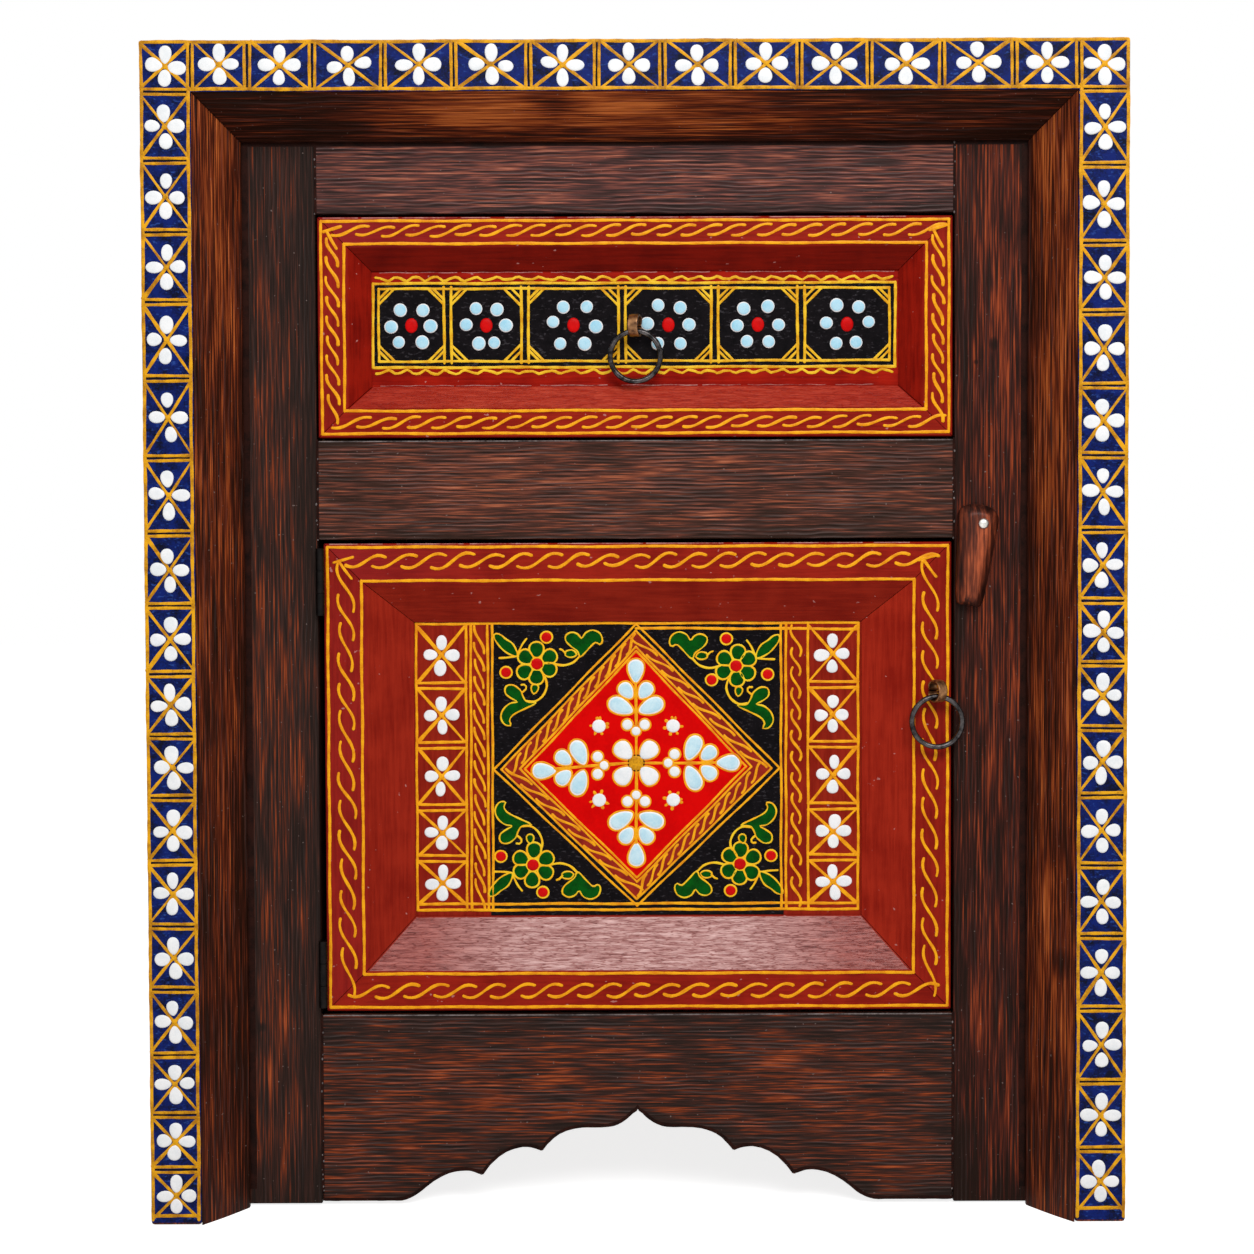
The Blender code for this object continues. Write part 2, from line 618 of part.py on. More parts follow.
def hinges(prefix, z, swing):
    """A butt hinge: the frame leaf holds the end knuckles, the door leaf the middle one."""
    place = (HINGE_X, HINGE_Y, z)
    third = HINGE_LENGTH / 3
    bore_radius = HINGE_PIN_RADIUS + HINGE_PIN_GAP
    reach = 2 * KNUCKLE_RADIUS
    back = KNUCKLE_RADIUS + JOINT
    leaves = (("_frame_leaf", -1, None, (0,)), ("_door_leaf", 1, swing, (-third, third)))
    for suffix, sign, parent, other_knuckles in leaves:
        name = prefix + suffix
        plate = prism_shape(leaf_outline(sign), "Z", -HINGE_LENGTH / 2, HINGE_LENGTH / 2)
        leaf = add_piece(name, plate, DARK_IRON, place, parent, True)
        for number, level in enumerate(other_knuckles):
            past_end = 0 if level == 0 else third
            height = third + JOINT + past_end
            centre = z + level + math.copysign(past_end / 2, level)
            notch = box_shape((2 * reach, reach + back, height))
            cut_from(leaf, name + "_notch_" + str(number), notch,
                     (HINGE_X, HINGE_Y + (back - reach) / 2, centre), parent)
        bore = turned_shape([(0, -HINGE_LENGTH), (bore_radius, -HINGE_LENGTH), (bore_radius, HINGE_LENGTH),
                             (0, HINGE_LENGTH)], 16, (0, 0, 1))
        cut_from(leaf, name + "_bore", bore, place, parent)
    half = HINGE_LENGTH / 2
    tip = HINGE_PIN_TIP
    pin = turned_shape([(0, -half), (HINGE_PIN_RADIUS - tip, -half), (HINGE_PIN_RADIUS, tip - half),
                        (HINGE_PIN_RADIUS, half - tip), (HINGE_PIN_RADIUS - tip, half), (0, half)],
                       16, (0, 0, 1))
    add_piece(prefix + "_pin", pin, DARK_IRON, place, None, True)


def rounded_outline(corners, radii, inset):
    """A convex outline with round corners, drawn in by an inset. Corners run anticlockwise."""
    points = []
    for i, (corner, radius) in enumerate(zip(corners, radii)):
        here = Vector(corner)
        arriving = (here - Vector(corners[i - 1])).normalized()
        leaving = (Vector(corners[(i + 1) % len(corners)]) - here).normalized()
        bisector = (leaving - arriving).normalized()
        centre = here + bisector * radius / math.sin(leaving.angle(-arriving) / 2)
        start = math.atan2(-arriving.x, arriving.y)
        end = start + arriving.angle(leaving)
        points += arc(centre, radius - inset, start, end, 6)
    return points


def turn_button():
    """A tapered wooden button, chamfered in front, that turns on a dome-headed nail."""
    head_left = -BUTTON_HEAD_WIDTH / 2 - BUTTON_NAIL_OFFSET
    head_right = head_left + BUTTON_HEAD_WIDTH
    corners = [(-BUTTON_TIP_WIDTH / 2, -BUTTON_REACH), (BUTTON_TIP_WIDTH / 2, -BUTTON_REACH),
               (head_right, BUTTON_HEAD), (head_left, BUTTON_HEAD)]
    radii = (BUTTON_TIP_ROUND, BUTTON_TIP_ROUND, BUTTON_HEAD_ROUND, BUTTON_HEAD_ROUND)
    shape = bmesh.new()
    loops = []
    levels = ((0, 0), (BUTTON_THICKNESS - BUTTON_CHAMFER, 0), (BUTTON_THICKNESS, BUTTON_CHAMFER))
    for height, inset in levels:
        outline = rounded_outline(corners, radii, inset)
        loops.append([shape.verts.new((x, -height, z)) for x, z in outline])
    join_loops(shape, loops)
    back_y = FACE_Y - BUTTON_GAP
    button = add_piece("turn_button", shape, DARK_WOOD, (NAIL_X, back_y, NAIL_Z))
    button.rotation_euler = (0, BUTTON_TILT, 0)
    hole_radius = NAIL_RADIUS + JOINT
    hole = turned_shape([(0, -BUTTON_THICKNESS), (hole_radius, -BUTTON_THICKNESS),
                         (hole_radius, 2 * BUTTON_THICKNESS), (0, 2 * BUTTON_THICKNESS)], 16, (0, -1, 0))
    cut_from(button, "turn_button_hole", hole, (NAIL_X, back_y, NAIL_Z))

    under_head = BUTTON_GAP + BUTTON_THICKNESS + JOINT
    dome = [(NAIL_HEAD_RADIUS * math.cos(angle), under_head + NAIL_HEAD_HEIGHT * math.sin(angle))
            for angle in (0, math.pi / 8, math.pi / 4, 3 * math.pi / 8)]
    profile = [(0, -NAIL_DEPTH), (NAIL_RADIUS, 2 * NAIL_RADIUS - NAIL_DEPTH), (NAIL_RADIUS, under_head)]
    profile += dome + [(0, under_head + NAIL_HEAD_HEIGHT)]
    add_piece("turn_button_nail", turned_shape(profile, 16, (0, -1, 0)), BRIGHT_STEEL,
              (NAIL_X, FACE_Y, NAIL_Z), None, True)


clear_scene()
case_boards()
moulding()
face_frame()
inner_boards()
drawer_track()
drawer()
door()
turn_button()
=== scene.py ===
import math
import random

import bmesh
import bpy
from mathutils import Matrix, Vector
from mathutils import noise as turbulence


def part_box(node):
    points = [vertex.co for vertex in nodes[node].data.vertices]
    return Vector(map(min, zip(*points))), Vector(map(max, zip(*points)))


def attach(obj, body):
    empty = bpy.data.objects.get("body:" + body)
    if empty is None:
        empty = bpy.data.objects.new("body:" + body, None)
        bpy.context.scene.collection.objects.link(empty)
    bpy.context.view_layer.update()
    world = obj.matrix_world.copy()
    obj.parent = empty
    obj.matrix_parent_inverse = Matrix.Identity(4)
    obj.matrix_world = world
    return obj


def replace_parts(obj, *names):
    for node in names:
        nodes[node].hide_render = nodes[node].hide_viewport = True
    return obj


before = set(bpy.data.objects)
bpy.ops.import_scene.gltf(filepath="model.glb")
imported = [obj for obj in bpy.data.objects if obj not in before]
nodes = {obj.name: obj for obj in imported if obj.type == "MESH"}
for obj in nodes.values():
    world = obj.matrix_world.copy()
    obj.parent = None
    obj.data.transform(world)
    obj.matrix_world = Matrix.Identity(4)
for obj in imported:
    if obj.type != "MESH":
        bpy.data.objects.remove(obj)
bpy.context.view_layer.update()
mm = 0.001


# The studio is a pale floor in white surroundings, with one large soft lamp in front and above.
# The camera stands where the photograph was taken, 1.1 m off, and looks very slightly down.
camera_place = Vector((-0.0056, -1.290, 0.3436))
camera_down = math.radians(1.94)
camera_right = math.radians(0.04)
camera_roll = math.radians(-0.19)
camera_lens = 62.17
floor_size = 14.0
floor_shade = 0.66
floor_lift = 0.82
surround_light = 0.46
lamp_place = Vector((0.30, -1.95, 1.62))
lamp_aim = Vector((0.0, -0.15, 0.28))
lamp_size = (1.5, 0.9)
lamp_power = 32.0


def add_node(tree, kind, inputs, **settings):
    """Add a shader node, with its inputs given as values or as the outputs that feed them."""
    node = tree.nodes.new("ShaderNode" + kind)
    for setting, value in settings.items():
        setattr(node, setting, value)
    for socket, value in inputs.items():
        if isinstance(value, bpy.types.NodeSocket):
            tree.links.new(value, node.inputs[socket])
        else:
            node.inputs[socket].default_value = value
    return node


def math_node(tree, operation, *values):
    """A sum on up to three values or outputs."""
    return add_node(tree, "Math", dict(enumerate(values)), operation=operation).outputs[0]


def shown_itself(tree):
    """1 for a ray that shows the surroundings, straight or mirrored, and 0 for the light they give."""
    path = add_node(tree, "LightPath", {}).outputs
    seen = math_node(tree, "MAXIMUM", path["Is Camera Ray"], path["Is Glossy Ray"])
    return math_node(tree, "MAXIMUM", seen, path["Is Transmission Ray"])


def studio_world():
    """White where it is seen, and soft even light on the cabinet."""
    world = bpy.data.worlds.new("studio")
    world.use_nodes = True
    tree = world.node_tree
    strength = math_node(tree, "MULTIPLY_ADD", shown_itself(tree), 1 - surround_light, surround_light)
    tree.links.new(strength, tree.nodes["Background"].inputs["Strength"])
    tree.nodes["Background"].inputs["Color"].default_value = (1, 1, 1, 1)
    return world


def studio_floor():
    """A matt pale floor that keeps the cabinet's shadow."""
    half = floor_size / 2
    mesh = bpy.data.meshes.new("floor")
    corners = [(-half, -half, 0), (half, -half, 0), (half, half, 0), (-half, half, 0)]
    mesh.from_pydata(corners, [], [(0, 1, 2, 3)])
    material = bpy.data.materials.new("pale_floor")
    material.use_nodes = True
    tree = material.node_tree
    tree.nodes.clear()
    matt = add_node(tree, "BsdfDiffuse", {"Color": (floor_shade, floor_shade, floor_shade, 1)})
    lift = math_node(tree, "MULTIPLY", shown_itself(tree), floor_lift)
    glow = add_node(tree, "Emission", {"Strength": lift})
    both = add_node(tree, "AddShader", {0: matt.outputs[0], 1: glow.outputs[0]})
    add_node(tree, "OutputMaterial", {"Surface": both.outputs[0]})
    mesh.materials.append(material)
    floor = bpy.data.objects.new("floor", mesh)
    bpy.context.collection.objects.link(floor)
    return floor


camera = bpy.data.objects.new("camera", bpy.data.cameras.new("camera"))
camera.data.lens = camera_lens
turn = Matrix.Rotation(-camera_right, 4, "Z") @ Matrix.Rotation(math.pi / 2 - camera_down, 4, "X")
camera.matrix_world = Matrix.Translation(camera_place) @ turn @ Matrix.Rotation(camera_roll, 4, "Z")
bpy.context.collection.objects.link(camera)
lamp = bpy.data.objects.new("softbox", bpy.data.lights.new("softbox", "AREA"))
lamp.data.shape = "RECTANGLE"
lamp.data.size, lamp.data.size_y = lamp_size
lamp.data.energy = lamp_power
lamp.location = lamp_place
lamp.rotation_euler = (lamp_aim - lamp_place).to_track_quat("-Z", "Y").to_euler()
bpy.context.collection.objects.link(lamp)
scene = bpy.context.scene
scene.camera = camera
scene.world = studio_world()
scene.view_settings.view_transform = "Standard"
studio_floor()


# Case boards, mouldings, face frame and apron are one timber, planed by hand, under a dark stain
# that has been rubbed through along the grain to red-brown and, where hands and feet reach, orange.
# The mouldings are mitred at the top corners, and the frame's rails meet its stiles in plain butt joints.
tone_steps = (0.30, 0.50, 0.60, 0.74, 1.0)
wood_tones = {
    "red": ((36, 17, 9), (66, 28, 17), (101, 41, 21), (150, 70, 32), (214, 118, 56)),
    "brown": ((34, 24, 20), (58, 36, 30), (89, 41, 26), (140, 62, 31), (196, 98, 52)),
    "russet": ((30, 16, 10), (56, 26, 20), (88, 36, 23), (140, 60, 31), (198, 96, 50)),
    "ash": ((46, 32, 29), (73, 47, 44), (103, 59, 53), (145, 82, 64), (194, 124, 98)),
    "umber": ((44, 28, 21), (70, 42, 34), (100, 54, 42), (144, 77, 52), (192, 117, 85))}
stain_patches = {"red": 0.62, "brown": 0.48, "russet": 0.56, "ash": 0.46, "umber": 0.46}
# Grey of the painted highlight on the crests of the wood's ridges.
crest_highlight_grey = (116, 102, 100)
chip_pale = (150, 132, 126)
fibre_stretch = {"board": 0.016, "rail": 0.035, "post": 0.024}
fibre_contrast = 1.55
stain_level = 0.295
ridge_pitch = 2.2 * mm
board_depth = 0.3
plain = ((0.0, 0.0), (1.0, 0.0))
planks = ((0.0, 0.06), (0.012, -0.03), (0.327, -0.03), (0.330, -0.25), (0.333, 0.05),
          (0.657, 0.05), (0.660, -0.25), (0.663, -0.01), (0.99, -0.01), (1.0, 0.08))
stile_across = ((0.0, -0.12), (0.25, 0.02), (0.6, 0.05), (0.8, 0.0), (1.0, -0.14))
rail_across = ((0.0, -0.14), (0.1, -0.03), (0.3, 0.02), (0.8, 0.03), (1.0, -0.06))
# Each member has the axis of its grain, its tones, its ridges' strength, and its wear along and across.
wood_members = {
    "top_board": ("X", "red", 0.3, plain, planks),
    "side_panel_left": ("Z", "red", 0.3, plain, planks),
    "side_panel_right": ("Z", "red", 0.3, plain, planks),
    "moulding_left": (
        "Z", "red", 0.2,
        ((0.0, -0.07), (0.3, -0.07), (0.45, 0.01), (0.58, 0.05), (0.7, 0.02), (1.0, 0.13)),
        ((0.0, -0.04), (0.2, 0.02), (0.75, 0.03), (1.0, -0.10))),
    "moulding_right": (
        "Z", "red", 0.2,
        ((0.0, 0.08), (0.3, 0.09), (0.5, 0.04), (0.7, 0.07), (0.9, 0.10), (1.0, 0.18)),
        ((0.0, -0.10), (0.2, 0.02), (0.8, 0.02), (1.0, -0.04))),
    "moulding_top": (
        "X", "red", 0.2,
        ((0.0, -0.12), (0.15, -0.09), (0.28, 0.14), (0.45, 0.22), (0.6, 0.09), (1.0, -0.13)),
        ((0.0, -0.12), (0.2, -0.02), (0.6, 0.03), (1.0, 0.0))),
    "stile_left": (
        "Z", "brown", 0.15,
        ((0.0, -0.14), (0.08, -0.03), (0.35, -0.04), (0.47, 0.02), (0.6, -0.06), (1.0, -0.08)),
        stile_across),
    "stile_right": (
        "Z", "russet", 0.15,
        ((0.0, -0.20), (0.08, -0.06), (0.3, -0.01), (0.5, 0.02), (0.6, 0.0), (1.0, 0.01)),
        stile_across),
    "top_rail": ("X", "ash", 0.72, ((0.0, 0.05), (1.0, 0.05)), rail_across),
    "middle_rail": (
        "X", "umber", 0.62,
        ((0.0, 0.0), (0.3, 0.04), (0.5, 0.04), (0.7, 0.0), (1.0, -0.03)),
        rail_across),
    "apron": (
        "X", "brown", 0.45,
        ((0.0, 0.04), (0.5, 0.05), (0.6, 0.0), (0.72, 0.07), (0.85, 0.04), (1.0, -0.01)),
        ((0.0, 0.0), (0.8, 0.0), (0.88, -0.06), (1.0, -0.12)))}
# Extra wear about a place, or stain where it is negative: x, z, half width, half height (mm) and amount.
worn_spots = {
    "stile_left": ((-194, 68, 3.6, 18, 0.30), (-201, 44, 2.0, 10, 0.20), (-197.8, 94.9, 2.6, 3.0, -0.30)),
    "stile_right": ((190.5, 470, 3.2, 48, 0.18), (184, 96, 10, 30, 0.26), (186.8, 452.3, 3.0, 4.0, -0.35),
                    (177.6, 442.9, 1.4, 1.6, -0.35)),
    "moulding_right": ((232, 142, 9, 30, 0.14), (218, 132, 7, 9, -0.20)),
    "moulding_top": ((-74, 568, 34, 10, 0.22), (-8, 570, 34, 10, 0.20), (-40, 573, 20, 5, -0.26),
                     (-130, 563, 14, 5, 0.16))}
scallop_dark_every = 4
scallop_dark_half = 15


def scallop_edge():
    """The apron's lower edge, from left to right, as its front face has it."""
    mesh = nodes["apron"].data
    front = {number for face in mesh.polygons if face.normal.y < -0.9 for number in face.vertices}
    corners = {tuple(mesh.vertices[number].co.xz) for number in front}
    return sorted(corner for corner in corners if corner[1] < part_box("apron")[1].z - 5 * mm)


# Darker patches along the apron's scalloped edge: stain, with painted shade where the edge turns under.
scallop_darkening = random.Random(9)
worn_spots["apron"] = [(x / mm, z / mm + 1, scallop_dark_half, scallop_darkening.uniform(5, 9), scallop_darkening.uniform(-0.26, -0.08))
                       for x, z in scallop_edge()[::scallop_dark_every]]


def tint(red, green, blue):
    """A colour as the eye reads it, 0 to 255, in the linear light that shaders work in."""
    def linear(value):
        share = value / 255
        return share / 12.92 if share <= 0.04045 else ((share + 0.055) / 1.055) ** 2.4
    return (linear(red), linear(green), linear(blue), 1.0)


def tints(steps, colours):
    """Stops of a ramp, from their positions and their colours as the eye reads them."""
    return [(step, tint(*colour)) for step, colour in zip(steps, colours)]


def new_finish(name, specular, metallic=0.0):
    """A material with its Principled shader, ready for the nodes that feed it."""
    material = bpy.data.materials.new(name)
    material.use_nodes = True
    tree = material.node_tree
    shader = tree.nodes["Principled BSDF"]
    shader.inputs["Specular IOR Level"].default_value = specular
    shader.inputs["Metallic"].default_value = metallic
    return material, tree, shader


def place_on(tree, squeeze, seed):
    """Coordinates on the piece in metres, squeezed along each axis and moved to a fresh spot by a seed."""
    place = add_node(tree, "TexCoord", {}).outputs["Object"]
    return add_node(tree, "Mapping", {"Vector": place, "Scale": squeeze,
                                      "Location": (seed * 1.7, seed * 3.1, seed * 5.3)}).outputs[0]


def noise(tree, place, scale, detail=4.0, roughness=0.55, distortion=0.0):
    """Cloudy values about one half."""
    inputs = {"Vector": place, "Scale": scale, "Detail": detail, "Roughness": roughness,
              "Distortion": distortion}
    return add_node(tree, "TexNoise", inputs).outputs["Fac"]


def ramp(tree, value, stops):
    """Colours along a value, each stop a position and a colour."""
    node = add_node(tree, "ValToRGB", {"Fac": value})
    elements = node.color_ramp.elements
    while len(elements) < len(stops):
        elements.new(1.0)
    for element, (position, colour) in zip(elements, stops):
        element.position = position
        element.color = colour
    return node.outputs["Color"]


def grey(share):
    """A grey of a given lightness, as shaders take it."""
    return (share, share, share, 1.0)


def mix_colour(tree, blend, amount, under, over):
    """One colour laid over another by an amount."""
    inputs = {0: amount, 6: under, 7: over}
    return add_node(tree, "Mix", inputs, data_type="RGBA", blend_type=blend).outputs[2]


def rescale(tree, value, start=0.0, end=1.0, first=0.0, last=1.0):
    """A value held between a start and an end, and stretched to run from first to last."""
    inputs = {"Value": value, "From Min": start, "From Max": end, "To Min": first, "To Max": last}
    return add_node(tree, "MapRange", inputs).outputs[0]


def surface(tree, shader, colour, wear, polish, height, depth):
    """Feed a shader its colour, a roughness that follows the wear, and a relief of a depth in metres."""
    tree.links.new(colour, shader.inputs["Base Color"])
    tree.links.new(rescale(tree, wear, 0.0, 1.0, *polish), shader.inputs["Roughness"])
    bump = add_node(tree, "Bump", {"Height": height, "Distance": depth})
    tree.links.new(bump.outputs["Normal"], shader.inputs["Normal"])


def squeezed(axis, share):
    """Scales that draw a pattern out along one axis."""
    scales = [1.0, 1.0, 1.0]
    scales[axis] = share
    return scales


def lies_along(tree, axis):
    """Where a point of the piece lies along one axis, in metres."""
    place = add_node(tree, "TexCoord", {}).outputs["Object"]
    return add_node(tree, "SeparateXYZ", {"Vector": place}).outputs[axis]


def profile(tree, low, high, axis, stops):
    """A value given at a few places across a piece, from its low side at 0 to its high side at 1."""
    where = rescale(tree, lies_along(tree, axis), low[axis], high[axis])
    level = ramp(tree, where, [(share, grey(0.5 + amount)) for share, amount in stops])
    return math_node(tree, "SUBTRACT", level, 0.5)


def worn_spot(tree, x, z, half_x, half_z, amount):
    """Extra wear about one place on the face, given in millimetres, that fades out to its edge."""
    place = add_node(tree, "TexCoord", {}).outputs["Object"]
    centre = (x * mm, 0, z * mm)
    reach = (1 / (half_x * mm), 0, 1 / (half_z * mm))
    off = add_node(tree, "VectorMath", {0: place, 1: centre}, operation="SUBTRACT").outputs[0]
    off = add_node(tree, "VectorMath", {0: off, 1: reach}, operation="MULTIPLY").outputs[0]
    far = add_node(tree, "VectorMath", {0: off}, operation="LENGTH").outputs["Value"]
    return rescale(tree, far, first=amount, last=0.0)


def combed_ridges(tree, axis, seed):
    """Ridges that follow the grain in waves, and come and go along it."""
    inputs = {"Vector": place_on(tree, squeezed(axis, 0.5), seed), "Scale": math.tau / 20 / ridge_pitch,
              "Distortion": 5.0, "Detail": 2.0, "Detail Scale": 0.45}
    ridges = add_node(tree, "TexWave", inputs, bands_direction="XYZ"[2 - axis]).outputs["Fac"]
    strength = noise(tree, place_on(tree, squeezed(axis, 0.15), seed + 2.0), 160, 2.0)
    strength = rescale(tree, strength, 0.35, 0.6)
    return math_node(tree, "MULTIPLY", math_node(tree, "SUBTRACT", ridges, 0.5), strength)


def stained_wood(node, seed, grain, tones, combed, along, across, spots):
    """Dark stain over red-brown timber in fine fibres, with ridges, bare patches and pale chips.

    How far the stain is rubbed is given at a few places along the grain and across it. Deep boards are
    given from front to back, and have longer fibres. The ridges darken the colour in their troughs and
    lighten it to grey on their crests, a painted shade and highlight.
    """
    low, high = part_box(node)
    material, tree, shader = new_finish(node + "_wood", 0.06)
    axis = "XYZ".index(grain)
    deep = high.y - low.y > board_depth
    kind = "board" if deep else "rail" if combed > 0.4 else "post"
    stretch = squeezed(axis, fibre_stretch[kind])
    fibres = noise(tree, place_on(tree, stretch, seed), 1000, 2.0, 0.7, 0.15)
    clouds = noise(tree, place_on(tree, [share ** 0.5 for share in stretch], seed + 4.0), 90, 3.0, 0.55)
    patches = math_node(tree, "SUBTRACT", clouds, 0.5)
    tone = math_node(tree, "MULTIPLY_ADD", fibres, fibre_contrast, profile(tree, low, high, axis, along))
    tone = math_node(tree, "MULTIPLY_ADD", patches, stain_patches[tones], tone)
    tone = math_node(tree, "ADD", tone, profile(tree, low, high, 1 if deep else 2 - axis, across))
    for spot in spots:
        tone = math_node(tree, "ADD", tone, worn_spot(tree, *spot))
    tone = math_node(tree, "SUBTRACT", tone, stain_level)
    colour = ramp(tree, tone, tints(tone_steps, wood_tones[tones]))
    ridges = combed_ridges(tree, axis, seed + 8.0)
    # Painted shade and highlight: the ridges darken the colour in their troughs and lighten it on their crests.
    shade = math_node(tree, "MULTIPLY_ADD", ridges, 1.3 * combed, 1.0)
    colour = mix_colour(tree, "MULTIPLY", 1.0, colour, shade)
    painted_crest_highlights = rescale(tree, ridges, 0.15, 0.5, 0.0, 0.5 * combed)
    colour = mix_colour(tree, "MIX", painted_crest_highlights, colour, tint(*crest_highlight_grey))
    chips = noise(tree, place_on(tree, (1, 1, 1), seed + 6.0), 600, 1.0)
    chips = ramp(tree, chips, [(0.76, grey(0.0)), (0.79, grey(0.5))])
    colour = mix_colour(tree, "MIX", chips, colour, tint(*chip_pale))
    height = math_node(tree, "MULTIPLY_ADD", ridges, 2 * combed, fibres)
    surface(tree, shader, colour, fibres, (0.30, 0.60), height, 0.25 * mm)
    return material


def dress(node, finish):
    """Give a CAD node its finish."""
    nodes[node].data.materials.clear()
    nodes[node].data.materials.append(finish)


for number, (node, member) in enumerate(wood_members.items()):
    dress(node, stained_wood(node, number + 1.0, *member, worn_spots.get(node, ())))


# The front edges of the side and top boards carry a border of cobalt tiles, ruled in ochre by eye,
# so their sizes drift. Each has crossed lines and a flower of four thick white petals.
top_tiles = (28.7, 32.8, 35.7, 35.5, 37.8, 34.3, 33.2, 35.5, 33.6, 35.3, 36.5, 36.4, 32.7)
left_tiles = (34.5, 36.0, 35.0, 38.5, 40.2, 38.3, 36.6, 34.7, 31.8,
              31.4, 33.2, 32.6, 32.5, 33.7, 30.8, 28.3, 27.0)
right_tiles = (38.1, 39.0, 34.9, 37.1, 35.2, 37.8, 36.0, 32.0,
               32.9, 34.2, 35.9, 36.3, 37.4, 37.5, 35.0, 33.3)
cobalt = ((3, 6, 30), (10, 31, 104))
cobalt_worn = (42, 74, 150)
ochre = ((174, 114, 14), (240, 172, 22))
petal_white = ((236, 239, 241), (250, 250, 250))
line_black = ((14, 10, 12), (24, 18, 16))
coat_steps = (0.38, 0.58)
paint_relief = 0.05 * mm
sharp_edge = math.radians(50)
tile_line = 1.9 * mm
tile_line_gap = 1.3 * mm
divider_line = 0.88 * tile_line
tile_gap = (1.1 * mm, 0.2 * mm)
tile_inset = 2 * mm
tile_heart = (3.0 * mm, 2.8 * mm)
edge_inset = 1.2 * mm
corner_inset = 1.5 * mm
foot_inset = 3 * mm
ground_inset = 0.7 * mm
ground_lift = 1.4 * mm
ground_gap = 0.2 * mm
ground_height = 0.1 * mm
thin_height = 0.42 * mm
petal_size = 8.5 * mm
petal_breadth = 0.77
petal_reach = 0.225
petal_least_reach = 0.7
flower_drift = 0.35 * mm
petal_height = 0.55 * mm


def oil_paint(name, thin, full, patch, seed, specular=0.1, roughness=0.36, flecks=None):
    """Thick brushed paint that shifts between a thin and a full coat, with flecks where the brush dragged."""
    material, tree, shader = new_finish(name, specular)
    place = place_on(tree, (1, 1, 1), seed)
    coat = noise(tree, place, patch, 3.0, 0.6)
    specks = noise(tree, place, patch * 9, 2.0, 0.5)
    coat = math_node(tree, "MULTIPLY_ADD", specks, 0.3, math_node(tree, "MULTIPLY", coat, 0.7))
    colour = ramp(tree, coat, tints(coat_steps, (thin, full)))
    if flecks:
        dragged = noise(tree, place_on(tree, (0.5, 1, 1.2), seed + 9.0), 750, 2.0)
        dragged = ramp(tree, dragged, [(0.60, grey(0.0)), (0.72, grey(0.8))])
        colour = mix_colour(tree, "MIX", dragged, colour, tint(*flecks))
    surface(tree, shader, colour, specks, (roughness - 0.1, roughness + 0.1), coat, paint_relief)
    return material


def evenly(path, step):
    """Points at even spacing along a path, with both of its ends."""
    points = [Vector(point) for point in path]
    spans = [(b - a).length for a, b in zip(points, points[1:])]
    total = sum(spans)
    count = max(2, math.ceil(total / step))
    found = []
    leg = 0
    gone = 0.0
    for i in range(count + 1):
        want = total * i / count
        while leg < len(spans) - 1 and gone + spans[leg] < want:
            gone += spans[leg]
            leg += 1
        share = (want - gone) / spans[leg] if spans[leg] else 0.0
        found.append(points[leg].lerp(points[leg + 1], min(share, 1.0)))
    return found


def piece_from(name, points, faces, finish, body):
    """A smooth piece from points and faces."""
    mesh = bpy.data.meshes.new(name)
    mesh.from_pydata(points, [], faces)
    shape = bmesh.new()
    shape.from_mesh(mesh)
    bmesh.ops.recalc_face_normals(shape, faces=shape.faces)
    shape.to_mesh(mesh)
    shape.free()
    mesh.shade_smooth()
    mesh.set_sharp_from_angle(angle=sharp_edge)
    mesh.materials.append(finish)
    piece = bpy.data.objects.new(name, mesh)
    bpy.context.collection.objects.link(piece)
    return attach(piece, body)


def middle_of(outline):
    """The middle of an outline's points."""
    return sum((Vector(point) for point in outline), Vector((0, 0))) / len(outline)


def around(centre, way, ahead, aside=0.0):
    """The place some way ahead of a centre along an angle, and aside to the left of it."""
    return (centre[0] + ahead * math.cos(way) - aside * math.sin(way),
            centre[1] + ahead * math.sin(way) + aside * math.cos(way))


